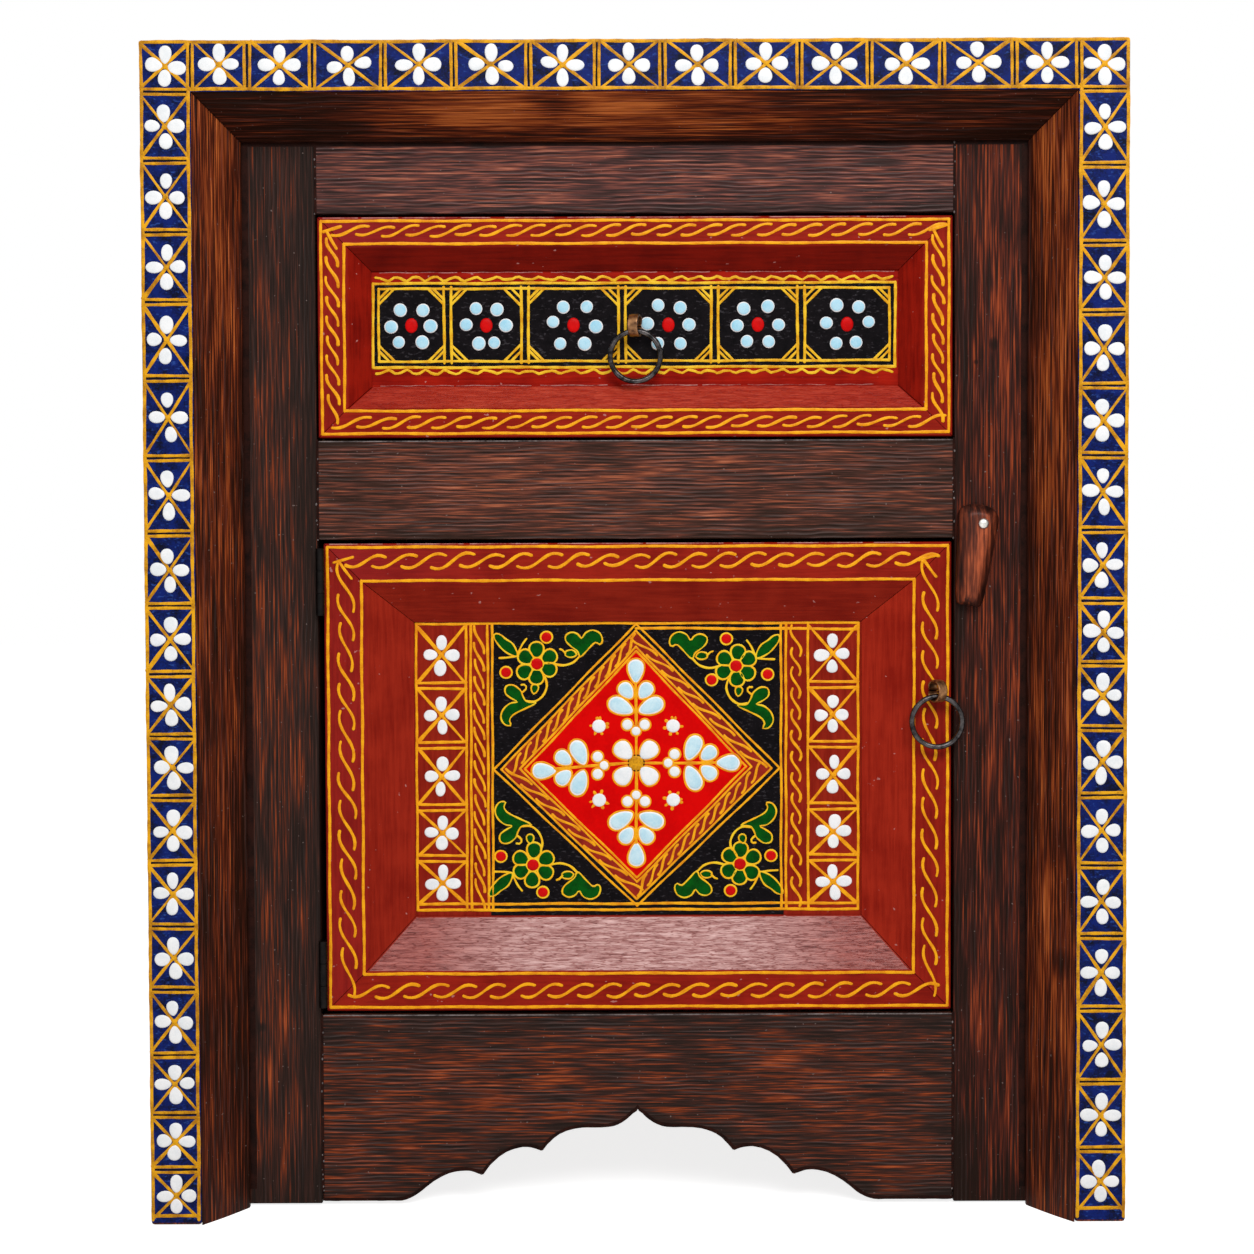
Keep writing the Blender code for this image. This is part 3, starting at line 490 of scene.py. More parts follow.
class Brushwork:
    """Raised paint of one colour on a face that looks forward, or back: strokes, dabs and flat grounds.

    Places on the face are (x, z), and each mark is a closed body that is bedded a little into it.
    """
    bedding = 0.3 * mm

    def __init__(self, face_y, seed, facing=1):
        self.face_y = face_y
        self.facing = facing
        self.hand = random.Random(seed)
        self.points = []
        self.faces = []

    def loop(self, places):
        """Add a loop of (x, z, height) points, and give their numbers."""
        first = len(self.points)
        self.points += [(x, self.face_y - self.facing * height, z) for x, z, height in places]
        return list(range(first, len(self.points)))

    def skin(self, loops, closed=False):
        """Cover a row of loops, with a face at each end unless the row runs round to its start."""
        pairs = list(zip(loops, loops[1:]))
        if closed:
            pairs.append((loops[-1], loops[0]))
        else:
            self.faces += [loops[0], loops[-1]]
        for near, far in pairs:
            for i in range(len(near)):
                j = i - 1
                self.faces.append((near[i], near[j], far[j], far[i]))

    def stroke(self, path, width, height=0.5 * mm, closed=False, wander=0.15 * mm, taper=0.0):
        """A bead of paint along a path, uneven in width as a hand draws it, with round ends."""
        stops = evenly(path, min(2.4 * mm, 1.2 * width))
        if closed:
            stops.pop()
        swell = self.hand.uniform(0, math.tau)
        drift = self.hand.uniform(0, math.tau)
        stations = []
        for i, here in enumerate(stops):
            before = stops[i - 1] if closed or i else here
            after = stops[(i + 1) % len(stops)] if closed or i + 1 < len(stops) else here
            ahead = (after - before).normalized()
            across = Vector((-ahead.y, ahead.x))
            size = 1 + 0.10 * math.sin(1.3 * i + swell) + 0.07 * math.sin(0.37 * i + drift)
            size += taper * (1 - 2 * i / (len(stops) - 1))
            sway = 0.0 if closed else wander * math.sin(0.21 * i + drift)
            stations.append((here + across * sway, across, size))
        if not closed:
            stations = self.round_ends(stations, width / 2)
        section = ((-1.0, -self.bedding), (-0.86, 0.55 * height), (0.0, height), (0.86, 0.55 * height),
                   (1.0, -self.bedding))
        loops = []
        for here, across, size in stations:
            places = []
            for side, rise in section:
                spot = here + across * side * width / 2 * size
                places.append((spot.x, spot.y, rise * min(size, 1.0) if rise > 0 else rise))
            loops.append(self.loop(places))
        self.skin(loops, closed)

    def round_ends(self, stations, radius):
        """Carry a stroke half its width past each end, narrowing to a round tip."""
        tips = []
        for (here, across, size), sign in ((stations[0], 1), (stations[-1], -1)):
            ahead = Vector((across.y, -across.x)) * sign
            tips.append([(here - ahead * radius * reach, across, size * math.sqrt(1 - reach * reach))
                         for reach in (0.96, 0.65)])
        return tips[0] + stations + tips[1][::-1]

    def dab(self, outline, height):
        """A domed drop of paint that fills an outline."""
        middle = middle_of(outline)
        loops = []
        for share, rise in ((1.0, -self.bedding), (1.0, 0.25 * height), (0.93, 0.7 * height),
                            (0.75, 0.95 * height), (0.35, height)):
            places = [middle.lerp(Vector(point), share) for point in outline]
            loops.append(self.loop([(place.x, place.y, rise) for place in places]))
        self.skin(loops)

    def ground(self, outline, height):
        """A flat coat inside an outline."""
        self.skin([self.loop([(x, z, rise) for x, z in outline]) for rise in (-self.bedding, height)])

    def dry(self, name, finish, body):
        """Make the paint a piece that rides on a body."""
        return piece_from(name, self.points, self.faces, finish, body)


def drop(x, z, length, breadth, angle, narrow=0.0, corners=20):
    """Outline of a petal that points along an angle, narrower at its near end."""
    outline = []
    for corner in range(corners):
        way = math.tau * corner / corners
        ahead = length / 2 * math.cos(way)
        aside = breadth / 2 * math.sin(way) * (1 + narrow * math.cos(way))
        outline.append(around((x, z), angle, ahead, aside))
    return outline


def rectangle(x0, x1, z0, z1):
    """The corners of a rectangle, from its lower left round to its upper left."""
    return [(x0, z0), (x1, z0), (x1, z1), (x0, z1)]


def four_petals(petals, x, z, width, height, petal):
    """White petals above, below and beside the crossing of a tile's lines."""
    hand = petals.hand
    for turn, reach in enumerate((width, height, width, height)):
        angle = turn * math.pi / 2 + hand.gauss(0, 0.07)
        length = petal * hand.uniform(0.90, 1.12)
        breadth = petal_breadth * petal * hand.uniform(0.88, 1.10)
        out = max(petal_reach * reach, petal_least_reach * petal) * hand.uniform(0.94, 1.06)
        narrow = hand.uniform(0.04, 0.28)
        petals.dab(drop(*around((x, z), angle, out), length, breadth, angle, narrow), petal_height)


def crossed_tile(lines, petals, x0, x1, z0, z1, petal):
    """Crossed diagonals and a four-petal flower between a tile's edges."""
    hand = lines.hand
    for start, end in (((x0, z0), (x1, z1)), ((x0, z1), (x1, z0))):
        width = tile_line * hand.uniform(0.72, 1.08)
        lines.stroke([start, end], width, thin_height, taper=hand.uniform(-0.3, 0.3))
    x = (x0 + x1) / 2 + hand.gauss(0, flower_drift)
    z = (z0 + z1) / 2 + hand.gauss(0, flower_drift)
    lines.dab(drop(x, z, *tile_heart, 0, corners=12), petal_height)
    four_petals(petals, x, z, x1 - x0, z1 - z0, petal)


side_low, side_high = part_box("side_panel_left")
top_low, top_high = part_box("top_board")
outer_x = top_high.x
strip_x = -side_high.x
ground_x = outer_x - ground_inset
border_blue = Brushwork(top_low.y, 11)
border_lines = Brushwork(top_low.y, 12)
border_gaps = Brushwork(top_low.y, 13)
border_petals = Brushwork(top_low.y, 14)
border_blue.ground(rectangle(-ground_x, ground_x, top_low.z, top_high.z - ground_inset), ground_height)
for sign in (-1, 1):
    strip = sorted((sign * strip_x, sign * ground_x))
    border_blue.ground(rectangle(*strip, side_low.z + ground_lift, top_low.z - ground_gap), ground_height)


def rule_line(start, end, width=tile_line):
    """An ochre line from one place to another."""
    border_lines.stroke([start, end], width)


def rule_divider(centre, across, along):
    """Two ochre lines over a dark gap, where one tile ends and the next begins."""
    for offset in (-tile_line_gap, tile_line_gap):
        middle = Vector(centre) + Vector(along) * offset
        rule_line(middle - Vector(across), middle + Vector(across), divider_line)
    border_gaps.stroke([Vector(centre) - Vector(across), Vector(centre) + Vector(across)], *tile_gap)


strip_middle = (outer_x + strip_x) / 2
strip_half = (outer_x - strip_x) / 2 - edge_inset
divider_gap = tile_line_gap + 0.4 * mm
for sign, tiles in ((-1, left_tiles), (1, right_tiles)):
    near = sign * strip_middle - strip_half
    far = sign * strip_middle + strip_half
    z = top_low.z
    for height in tiles:
        low = z - height * mm
        crossed_tile(border_lines, border_petals, near, far, low + divider_gap, z - divider_gap, petal_size)
        if low > side_low.z + 2 * foot_inset:
            rule_divider((sign * strip_middle, low), (strip_half, 0), (0, 1))
        z = low
    inner_x = sign * (strip_x + edge_inset)
    edge_x = sign * (outer_x - edge_inset)
    rule_line((inner_x, z + foot_inset), (edge_x, z + foot_inset))
    rule_line((edge_x, side_low.z + foot_inset), (edge_x, top_high.z - corner_inset))
    rule_line((inner_x, side_low.z + foot_inset), (inner_x, top_low.z))
    rule_divider((sign * strip_middle, top_low.z), (strip_half, 0), (0, 1))
    crossed_tile(border_lines, border_petals, near, far, top_low.z + tile_inset, top_high.z - tile_inset,
                 petal_size)
x = -strip_x
top_middle = (top_low.z + top_high.z) / 2
top_half = (top_high.z - top_low.z) / 2 - edge_inset
for width in top_tiles:
    far = x + width * mm
    rule_divider((x, top_middle), (0, top_half), (1, 0))
    crossed_tile(border_lines, border_petals, x + tile_inset, far - tile_inset,
                 top_middle - top_half, top_middle + top_half, petal_size)
    x = far
rule_divider((x, top_middle), (0, top_half), (1, 0))
edge_x = outer_x - corner_inset
rule_line((-edge_x, top_high.z - edge_inset), (edge_x, top_high.z - edge_inset))
rule_line((-strip_x, top_low.z + edge_inset), (strip_x, top_low.z + edge_inset))

ochre_paint = oil_paint("ochre_paint", *ochre, 150, 1.0, 0.12)
white_paint = oil_paint("white_paint", *petal_white, 120, 2.0, 0.12, 0.32)
black_line_paint = oil_paint("black_line_paint", *line_black, 200, 3.0, 0.05, 0.5)
cobalt_paint = oil_paint("cobalt_paint", *cobalt, 110, 4.0, 0.08, flecks=cobalt_worn)
border_blue.dry("border_blue_ground", cobalt_paint, "case")
border_lines.dry("border_ochre_lines", ochre_paint, "case")
border_gaps.dry("border_tile_gaps", black_line_paint, "case")
border_petals.dry("border_white_petals", white_paint, "case")


# Dark strips where the mouldings meet the face frame are a painted shadow. Stain has gathered at the frame's
# joints, and the dark line along the apron's scalloped edge is stain with painted shade where the edge turns
# under. Pale specks sit along the joints, and the frame's edges below the drawer and the door carry a thin grey
# line, a painted highlight.
painted_shadow_depth = {"top": 2.0 * mm, "side": 3.4 * mm}
painted_shadow_overlap = 0.4 * mm
painted_shadow_height = 0.12 * mm
joint_stain = (1.5 * mm, 0.1 * mm)
scallop_stain_and_shade = (2.0 * mm, 0.1 * mm)
edge_highlight_line = (0.6 * mm, 0.12 * mm)
edge_line_inset = 0.35 * mm
speck_height = 0.25 * mm
foot_clear = 8 * mm
# Dark colour for the painted shadow by the mouldings, the joint stain and the scallop's dark line.
dark_stain_and_shade = ((22, 10, 7), (44, 20, 14))
# Grey for pale specks along the joints and for the painted highlight along the rails' top edges.
specks_and_highlight_grey = ((60, 54, 54), (128, 118, 116))
face_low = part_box("stile_left")[0]
lip_x = -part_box("moulding_left")[1].x
lip_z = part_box("moulding_top")[0].z
painted_shadow_z = lip_z - painted_shadow_depth["top"]
stain_and_painted_shade = Brushwork(face_low.y, 15)
pale_specks_and_edge_highlights = Brushwork(face_low.y, 16)
# Painted shadow: dark strips on the face frame under the top moulding and beside the side mouldings.
stain_and_painted_shade.ground(rectangle(-lip_x, lip_x, painted_shadow_z, lip_z + painted_shadow_overlap), painted_shadow_height)
for sign in (-1, 1):
    edges = sorted((sign * (lip_x + painted_shadow_overlap), sign * (lip_x - painted_shadow_depth["side"])))
    stain_and_painted_shade.ground(rectangle(*edges, face_low.z + foot_clear, painted_shadow_z - 0.1 * mm), painted_shadow_height)
for node in ("top_rail", "middle_rail", "apron"):
    low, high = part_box(node)
    bottom = max(low.z, foot_clear)
    for x in (low.x, high.x):
        stain_and_painted_shade.stroke([(x, bottom), (x, high.z)], *joint_stain, wander=0.0)
        z = bottom
        while z < high.z - 4 * mm:
            speck = pale_specks_and_edge_highlights.hand.uniform(0.5, 1.0) * mm
            speck_x = x + pale_specks_and_edge_highlights.hand.gauss(0, 0.4) * mm
            pale_specks_and_edge_highlights.dab(drop(speck_x, z, 1.5 * speck, speck, 1.5, corners=10), speck_height)
            z += pale_specks_and_edge_highlights.hand.uniform(2, 15) * mm
# Painted highlight: a thin grey line along the top edges of the middle rail and the apron.
for node in ("middle_rail", "apron"):
    low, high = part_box(node)
    z = high.z - edge_line_inset
    pale_specks_and_edge_highlights.stroke([(low.x + 1 * mm, z), (high.x - 1 * mm, z)], *edge_highlight_line, wander=0.0)
# Stain with painted shade: a dark line along the apron's scalloped edge, where it turns under.
stain_and_painted_shade.stroke([(x, z + edge_line_inset) for x, z in scallop_edge()], *scallop_stain_and_shade, wander=0.0)
stain_and_painted_shade.dry("stain_and_painted_shade", oil_paint("corner_dark_stain_and_shade", *dark_stain_and_shade, 120, 15.0, 0.04), "case")
pale_specks_and_edge_highlights.dry("pale_specks_and_edge_highlights", oil_paint("specks_and_highlight_grey", *specks_and_highlight_grey, 90, 14.0), "case")


# Inside the case are plain sawn boards: the drawer's deck and the cupboard floor on their cleats, and the
# strips that guide and stop the drawer. The back is four upright boards, nailed on from behind. All of
# them are bare timber.
bare_pale = (178, 134, 92)
bare_dark = (120, 80, 50)
seam_dark = (52, 34, 22)
back_boards = 4
nail_dark = (26, 22, 20)
nail_bright = (70, 60, 54)
nail_inset = 9 * mm
nail_height = 0.6 * mm
inside_boards = (
    ("drawer_deck", "X"), ("cupboard_floor", "X"), ("deck_cleat_left", "Y"), ("deck_cleat_right", "Y"),
    ("floor_cleat_left", "Y"), ("floor_cleat_right", "Y"), ("drawer_guide_left", "Y"),
    ("drawer_guide_right", "Y"), ("drawer_kicker_left", "Y"), ("drawer_kicker_right", "Y"),
    ("drawer_stop_left", "X"), ("drawer_stop_right", "X"))


def bare_wood(name, grain, seed, board=None):
    """Unpainted timber with brown growth lines and a sawn surface, in boards of one width with dark seams."""
    material, tree, shader = new_finish(name, 0.2)
    along = place_on(tree, squeezed("XYZ".index(grain), 0.05), seed)
    if board:
        x = lies_along(tree, "X")
        number = math_node(tree, "FLOOR", math_node(tree, "DIVIDE", x, board))
        apart = add_node(tree, "CombineXYZ", {"Y": number, "Z": number}).outputs[0]
        along = add_node(tree, "VectorMath", {0: along, 1: apart}, operation="ADD").outputs[0]
    rings = noise(tree, along, 130, 4.0, 0.6, 0.6)
    fibres = noise(tree, along, 1300, 3.0, 0.6)
    tone = math_node(tree, "MULTIPLY_ADD", fibres, 0.35, math_node(tree, "MULTIPLY", rings, 0.65))
    colour = ramp(tree, tone, tints((0.38, 0.60), (bare_dark, bare_pale)))
    if board:
        seam = rescale(tree, math_node(tree, "PINGPONG", x, board / 2), 0.9 * mm, 0.4 * mm)
        colour = mix_colour(tree, "MIX", seam, colour, tint(*seam_dark))
    surface(tree, shader, colour, fibres, (0.55, 0.8), tone, 0.3 * mm)
    return material


def worn_metal(name, dark, bright, seed, roughness=0.42, depth=0.06 * mm):
    """Metal that is dull in the hollows and rubbed brighter where it is handled."""
    material, tree, shader = new_finish(name, 0.5, 0.85)
    place = place_on(tree, (1, 1, 1), seed)
    wear = noise(tree, place, 260, 4.0, 0.6)
    pits = noise(tree, place, 1400, 2.0, 0.5)
    colour = ramp(tree, wear, tints((0.36, 0.66), (dark, bright)))
    height = math_node(tree, "MULTIPLY_ADD", pits, 0.4, wear)
    surface(tree, shader, colour, pits, (roughness - 0.1, roughness + 0.16), height, depth)
    return material


back_low, back_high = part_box("back_panel")
back_board = (back_high.x - back_low.x) / back_boards
dress("back_panel", bare_wood("back_panel_wood", "Z", 33.0, back_board))
back_nails = Brushwork(back_high.y, 17, -1)
for i in range(back_boards):
    for aside in (0.2, 0.8):
        for z in (back_low.z + nail_inset, back_high.z - nail_inset):
            x = back_low.x + (i + aside) * back_board + back_nails.hand.gauss(0, 1.2) * mm
            size = back_nails.hand.uniform(4.4, 5.2) * mm
            nail_z = z + back_nails.hand.gauss(0, 0.8) * mm
            back_nails.dab(drop(x, nail_z, size, 0.94 * size, 0.6, corners=14), nail_height)
back_nails.dry("back_nail_heads", worn_metal("nail_iron", nail_dark, nail_bright, 34.0), "case")
for number, (node, grain) in enumerate(inside_boards):
    dress(node, bare_wood(node + "_wood", grain, number + 20.0))


# The drawer front is a mitred frame with a bevel down to a flat panel, all brushed brick red. Gold lines
# edge the flat border with a rope of S strokes between, and the panel has six black dotted tiles.
border_reds = ((124, 22, 13), (154, 34, 20))
border_purple = (138, 34, 44)
purple_reach = (-0.06, -0.15)
# The drawer's recessed reds are darker than its border's, a painted shade in the recess.
drawer_reds = ((106, 10, 3), (140, 22, 8))
# Tones of the drawer's lower bevel, a painted sheen where it looks up, and the tint toward its ends.
drawer_sheen = ((140, 27, 13), (161, 39, 21), (190, 70, 49))
drawer_sheen_ends = (240, 210, 205)
sheen_steps = (0.40, 0.66, 0.92)
# Rose is for pale chips in the red and for the painted highlights along the fronts' edges.
rose = ((138, 44, 38), (196, 138, 132))
gold = ((228, 140, 8), (255, 178, 18))
lemon = ((220, 152, 14), (248, 200, 44))
field_black = ((6, 4, 6), (16, 12, 15))
field_worn = (62, 58, 62)
sky = ((158, 214, 236), (188, 228, 244))
bead_red = ((190, 4, 4), (216, 8, 8))
# Each member has the axis of its grain, a factor on the reds of its bevel and panel that paints light or shade
# by how they face, and how far its border turns purple toward the left.
drawer_members = (
    ("drawer_front_top", "X", 0.88, 0.8), ("drawer_front_bottom", "X", 1.0, 0.0),
    ("drawer_front_left", "Z", 1.03, 0.2), ("drawer_front_right", "Z", 1.03, 0.0),
    ("drawer_front_panel", "X", 1.18, 0.0))
drawer_border = 14.7 * mm
drawer_bevel = {"side": 12.2 * mm, "bottom": 12.2 * mm, "depth": 8.2 * mm}
drawer_rope = {
    "places": {"side": 7.6 * mm, "top": 7.0 * mm, "bottom": 7.6 * mm},
    "across": {"pitch": 13.3 * mm, "size": (20.0 * mm, 5.4 * mm, 1.6 * mm), "bend": 2.0},
    "down": {"pitch": 10.1 * mm, "size": (14.8 * mm, 5.8 * mm, 1.75 * mm), "bend": 1.85}}
gold_line = 1.65 * mm
outer_line_inset = 1.9 * mm
inner_line_inset = 1.0 * mm
drawer_tiles = (39.2, 40.6, 51.0, 48.7, 45.4, 49.4)
drawer_field_left = -137.7 * mm
drawer_field_z = 463.7 * mm
drawer_field_half = 22.0 * mm
field_line = 1.6 * mm
field_inner_line = 1.5 * mm
field_inset = {"side": 3.0 * mm, "bottom": 3.2 * mm, "top": 2.8 * mm}
divider_inset = {"side": 1.9 * mm, "bottom": 2.4 * mm, "top": 2.0 * mm}
corner_legs = (5.4 * mm, 8.6 * mm)
corner_line = 1.45 * mm
wave_off = 2.4 * mm
wave_pitch = 10.4 * mm
wave_drift = 31 * mm
wave_swell = 17 * mm
wave_inset = 1.5 * mm
wave_steps = 260
dot_size = 7.0 * mm
red_dot = (7.8 * mm, 6.6 * mm)
dot_spread = (10.4 * mm, 11.4 * mm)
panel_edges = (432.2 * mm, 491.4 * mm)
panel_ends = (-134 * mm, 136 * mm)
top_highlight_line = (0.5 * mm, 0.12 * mm)
bevel_grid = (150, 64)
bevel_lift = (-0.3 * mm, 0.12 * mm)
bevel_grain = (12 * mm, 1.5 * mm)


def brushed_red(name, grain, reds, face_y, seed, shade, purple_share):
    """Red paint with the brush's streaks along the member, duller on its flat border than on its bevel.

    The bevel and panel take their own reds, scaled as a whole by the member's factor, a painted light or shade,
    and the border turns purple toward its left end.
    """
    material, tree, shader = new_finish(name, 0.04)
    streaks = noise(tree, place_on(tree, squeezed("XYZ".index(grain), 0.06), seed), 620, 4.0, 0.6)
    coat = noise(tree, place_on(tree, (1, 1, 1), seed), 40, 3.0, 0.6)
    tone = math_node(tree, "MULTIPLY_ADD", streaks, 0.5, math_node(tree, "MULTIPLY", coat, 0.5))
    # Painted light or shade: the recessed reds scaled by how the member's bevel faces.
    shaded = [[shade * part for part in red] for red in reds]
    flat = ramp(tree, tone, tints(coat_steps, border_reds))
    sunk = ramp(tree, tone, tints(coat_steps, shaded))
    leftward = rescale(tree, lies_along(tree, "X"), *purple_reach, 0.0, purple_share)
    flat = mix_colour(tree, "MIX", math_node(tree, "MULTIPLY", leftward, coat), flat, tint(*border_purple))
    recess = rescale(tree, lies_along(tree, "Y"), face_y + 0.2 * mm, face_y + 1.0 * mm)
    colour = mix_colour(tree, "MIX", recess, flat, sunk)
    chips = noise(tree, place_on(tree, (0.5, 1, 0.7), seed + 2.0), 520, 2.0, 0.5)
    chips = ramp(tree, chips, [(0.73, grey(0.0)), (0.75, grey(0.65))])
    colour = mix_colour(tree, "MIX", chips, colour, tint(*rose[1]))
    surface(tree, shader, colour, streaks, (0.28, 0.5), streaks, 0.2 * mm)
    return material


def red_with_painted_sheen(name, tones, ends, half, seed, specular):
    """Thick wrinkled red paint, finely cracked along the member, toned as a painted sheen and redder at the
    ends.
    """
    material, tree, shader = new_finish(name, specular)
    level = noise(tree, place_on(tree, squeezed(0, 0.10), seed), 900, 2.0, 0.5, 0.1)
    folds = math_node(tree, "ABSOLUTE", math_node(tree, "SUBTRACT", level, 0.5))
    folds = rescale(tree, folds, 0.0, 0.04)
    streaks = noise(tree, place_on(tree, squeezed(0, 0.12), seed + 3.0), 700, 4.0, 0.7)
    tone = math_node(tree, "MULTIPLY_ADD", folds, 0.25, streaks)
    colour = ramp(tree, tone, tints(sheen_steps, tones))
    out = math_node(tree, "ABSOLUTE", lies_along(tree, "X"))
    out = math_node(tree, "MULTIPLY_ADD", streaks, 0.3 * half, out)
    redder = rescale(tree, out, 0.65 * half, 1.1 * half)
    colour = mix_colour(tree, "MULTIPLY", redder, colour, tint(*ends))
    surface(tree, shader, colour, streaks, (0.22, 0.44), tone, 0.3 * mm)
    return material


def paint_members(members, reds, face_y, seed):
    """Brush the members and the panel of a front, each along its own grain."""
    for number, (node, grain, shade, purple_share) in enumerate(members):
        dress(node, brushed_red(node + "_red", grain, reds, face_y, number + seed, shade, purple_share))


def curved_span(a, b, c, d, steps):
    """Points of a round curve from b up to c, led by the points before and after them."""
    span = []
    for step in range(steps):
        t = step / steps
        span.append(0.5 * (2 * b + (c - a) * t + (2 * a - 5 * b + 4 * c - d) * t * t
                           + (3 * b - a - 3 * c + d) * t * t * t))
    return span


def smooth_path(points, steps=6):
    """A round open curve through a few points."""
    ends = [Vector(points[0]), *map(Vector, points), Vector(points[-1])]
    fours = zip(ends, ends[1:], ends[2:], ends[3:])
    return [point for four in fours for point in curved_span(*four, steps)] + [ends[-1]]


def s_stroke(middle, angle, length, height, bend):
    """A stroke along an angle in the shape of an S, whose ends turn back the more it bends."""
    top = math.sin(min(bend, math.pi / 2))
    path = []
    for i in range(17):
        along = i / 8 - 1
        ahead = along * length / 2
        aside = math.sin(bend * along) / top * height / 2
        path.append(around(middle, angle, ahead, aside))
    return path


def rope(paint, start, end, pitch, size, bend):
    """A row of S strokes from one place to another, each with its length, height and line width."""
    start = Vector(start)
    run = Vector(end) - start
    angle = math.atan2(run.y, run.x)
    count = round(run.length / pitch)
    hand = paint.hand
    for i in range(count):
        length, height, width = (measure * hand.uniform(0.93, 1.06) for measure in size)
        middle = start + run * (i + 0.5) / count
        paint.stroke(s_stroke(middle, angle + hand.gauss(0, 0.03), length, height, bend), width)


def round_trip(corners):
    """The sides of an outline, each with its start and its end."""
    return zip(corners, corners[1:] + corners[:1])


def ruled_frame(paint, x0, x1, z0, z1, width):
    """Four lines round a rectangle, each a stroke of its own."""
    for side in round_trip(rectangle(x0, x1, z0, z1)):
        paint.stroke(side, width)


def painted_border(paint, low, high, border, places, across, down):
    """Lines along both edges of a flat border, with a rope between and an arrow in each upper corner."""
    for inset in (outer_line_inset, border - inner_line_inset):
        ruled_frame(paint, low.x + inset, high.x - inset, low.z + inset, high.z - inset, gold_line)
    left, right = low.x + places["side"], high.x - places["side"]
    top, bottom = high.z - places["top"], low.z + places["bottom"]
    for z in (top, bottom):
        rope(paint, (left + 3 * mm, z), (right + 1 * mm, z), **across)
    reach, width = down["size"][1:]
    for x in (left, right):
        rope(paint, (x, top - 6 * mm), (x, bottom + 2 * mm), **down)
        tip = (x - 0.75 * reach, top - 0.5 * mm)
        hook = [(x - 0.45 * reach, top), (x, top - 5 * mm), (x + 0.4 * reach, top - 9 * mm)]
        paint.stroke([tip, (tip[0] + 0.45 * across["size"][0], top + 2.2 * mm)], width)
        paint.stroke(smooth_path(hook), width)


front_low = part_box("drawer_front_left")[0]
front_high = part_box("drawer_front_right")[1]
paint_members(drawer_members, drawer_reds, front_low.y, 40.0)
drawer_gold = Brushwork(front_low.y, 21)
painted_border(drawer_gold, front_low, front_high, drawer_border, **drawer_rope)

panel_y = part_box("drawer_front_panel")[0].y
drawer_black = Brushwork(panel_y, 22)
panel_gold = Brushwork(panel_y, 23)
drawer_sky = Brushwork(panel_y, 24)
drawer_red = Brushwork(panel_y, 25)
drawer_edges = Brushwork(panel_y, 26)
dot_rims = Brushwork(panel_y, 27)
drawer_rim = Brushwork(front_low.y, 28)
field_right = drawer_field_left + sum(drawer_tiles) * mm
field_low = drawer_field_z - drawer_field_half
field_high = drawer_field_z + drawer_field_half
tile_low = field_low + field_inset["bottom"]
tile_high = field_high - field_inset["top"]
divider_low = field_low + divider_inset["bottom"]
divider_high = field_high - divider_inset["top"]
drawer_black.ground(rectangle(drawer_field_left, field_right, field_low, field_high), height=0.12 * mm)
ruled_frame(panel_gold, drawer_field_left, field_right, field_low, field_high, field_line)
ruled_frame(panel_gold, drawer_field_left + field_inset["side"], field_right - field_inset["side"],
            tile_low, tile_high, field_inner_line)
wave_length = field_right - drawer_field_left - 2 * wave_inset
for z, sign in ((field_high + wave_off, 1), (field_low - wave_off, -1)):
    wave = []
    for i in range(wave_steps + 1):
        along = wave_length * i / wave_steps
        phase = along / wave_pitch * math.tau + 1.6 * math.sin(along / wave_drift + z)
        rise = (0.9 + 0.25 * math.sin(along / wave_swell)) * math.sin(phase) + 0.25 * math.sin(2.1 * phase)
        wave.append((drawer_field_left + wave_inset + along, z + sign * rise * mm))
    panel_gold.stroke(wave, field_inner_line, thin_height)


def cut_corners(paint, x0, x1, z0, z1):
    """Two short slanting lines across each corner of a tile."""
    for x, way in ((x0, 1), (x1, -1)):
        for z, rise in ((z0, 1), (z1, -1)):
            for leg in corner_legs:
                reach = leg * paint.hand.uniform(0.94, 1.06)
                ends = [(x + way * reach, z), (x, z + rise * reach)]
                paint.stroke(ends, corner_line, thin_height, wander=0.0)


def dotted_flower(x, z, spread):
    """A red dot in a ring of six pale blue ones, each laid on a white one that shows as a rim."""
    drawer_red.dab(drop(x, z, *red_dot, math.pi / 2), height=0.8 * mm)
    hand = drawer_sky.hand
    for turn in range(6):
        angle = turn * math.tau / 6 + hand.gauss(0, 0.07)
        reach = spread * hand.uniform(0.94, 1.06)
        size = dot_size * hand.uniform(0.94, 1.08)
        spot = around((x, z), angle, reach)
        dot_rims.dab(drop(*spot, size, size * 0.96, angle), height=0.7 * mm)
        drawer_sky.dab(drop(*spot, 0.93 * size, 0.90 * size, angle), height=0.78 * mm)


def top_edge_highlight(paint, low, high):
    """A painted highlight along a front's upper edge: a pale line, broken in places."""
    begin = low.x + 3 * mm
    while begin < high.x - 20 * mm:
        end = begin + paint.hand.uniform(14, 50) * mm
        top = high.z - 0.3 * mm
        paint.stroke([(begin, top), (min(end, high.x - 2 * mm), top)], *top_highlight_line, wander=0.0)
        begin = end + paint.hand.uniform(1, 8) * mm


top_edge_highlight(drawer_rim, front_low, front_high)
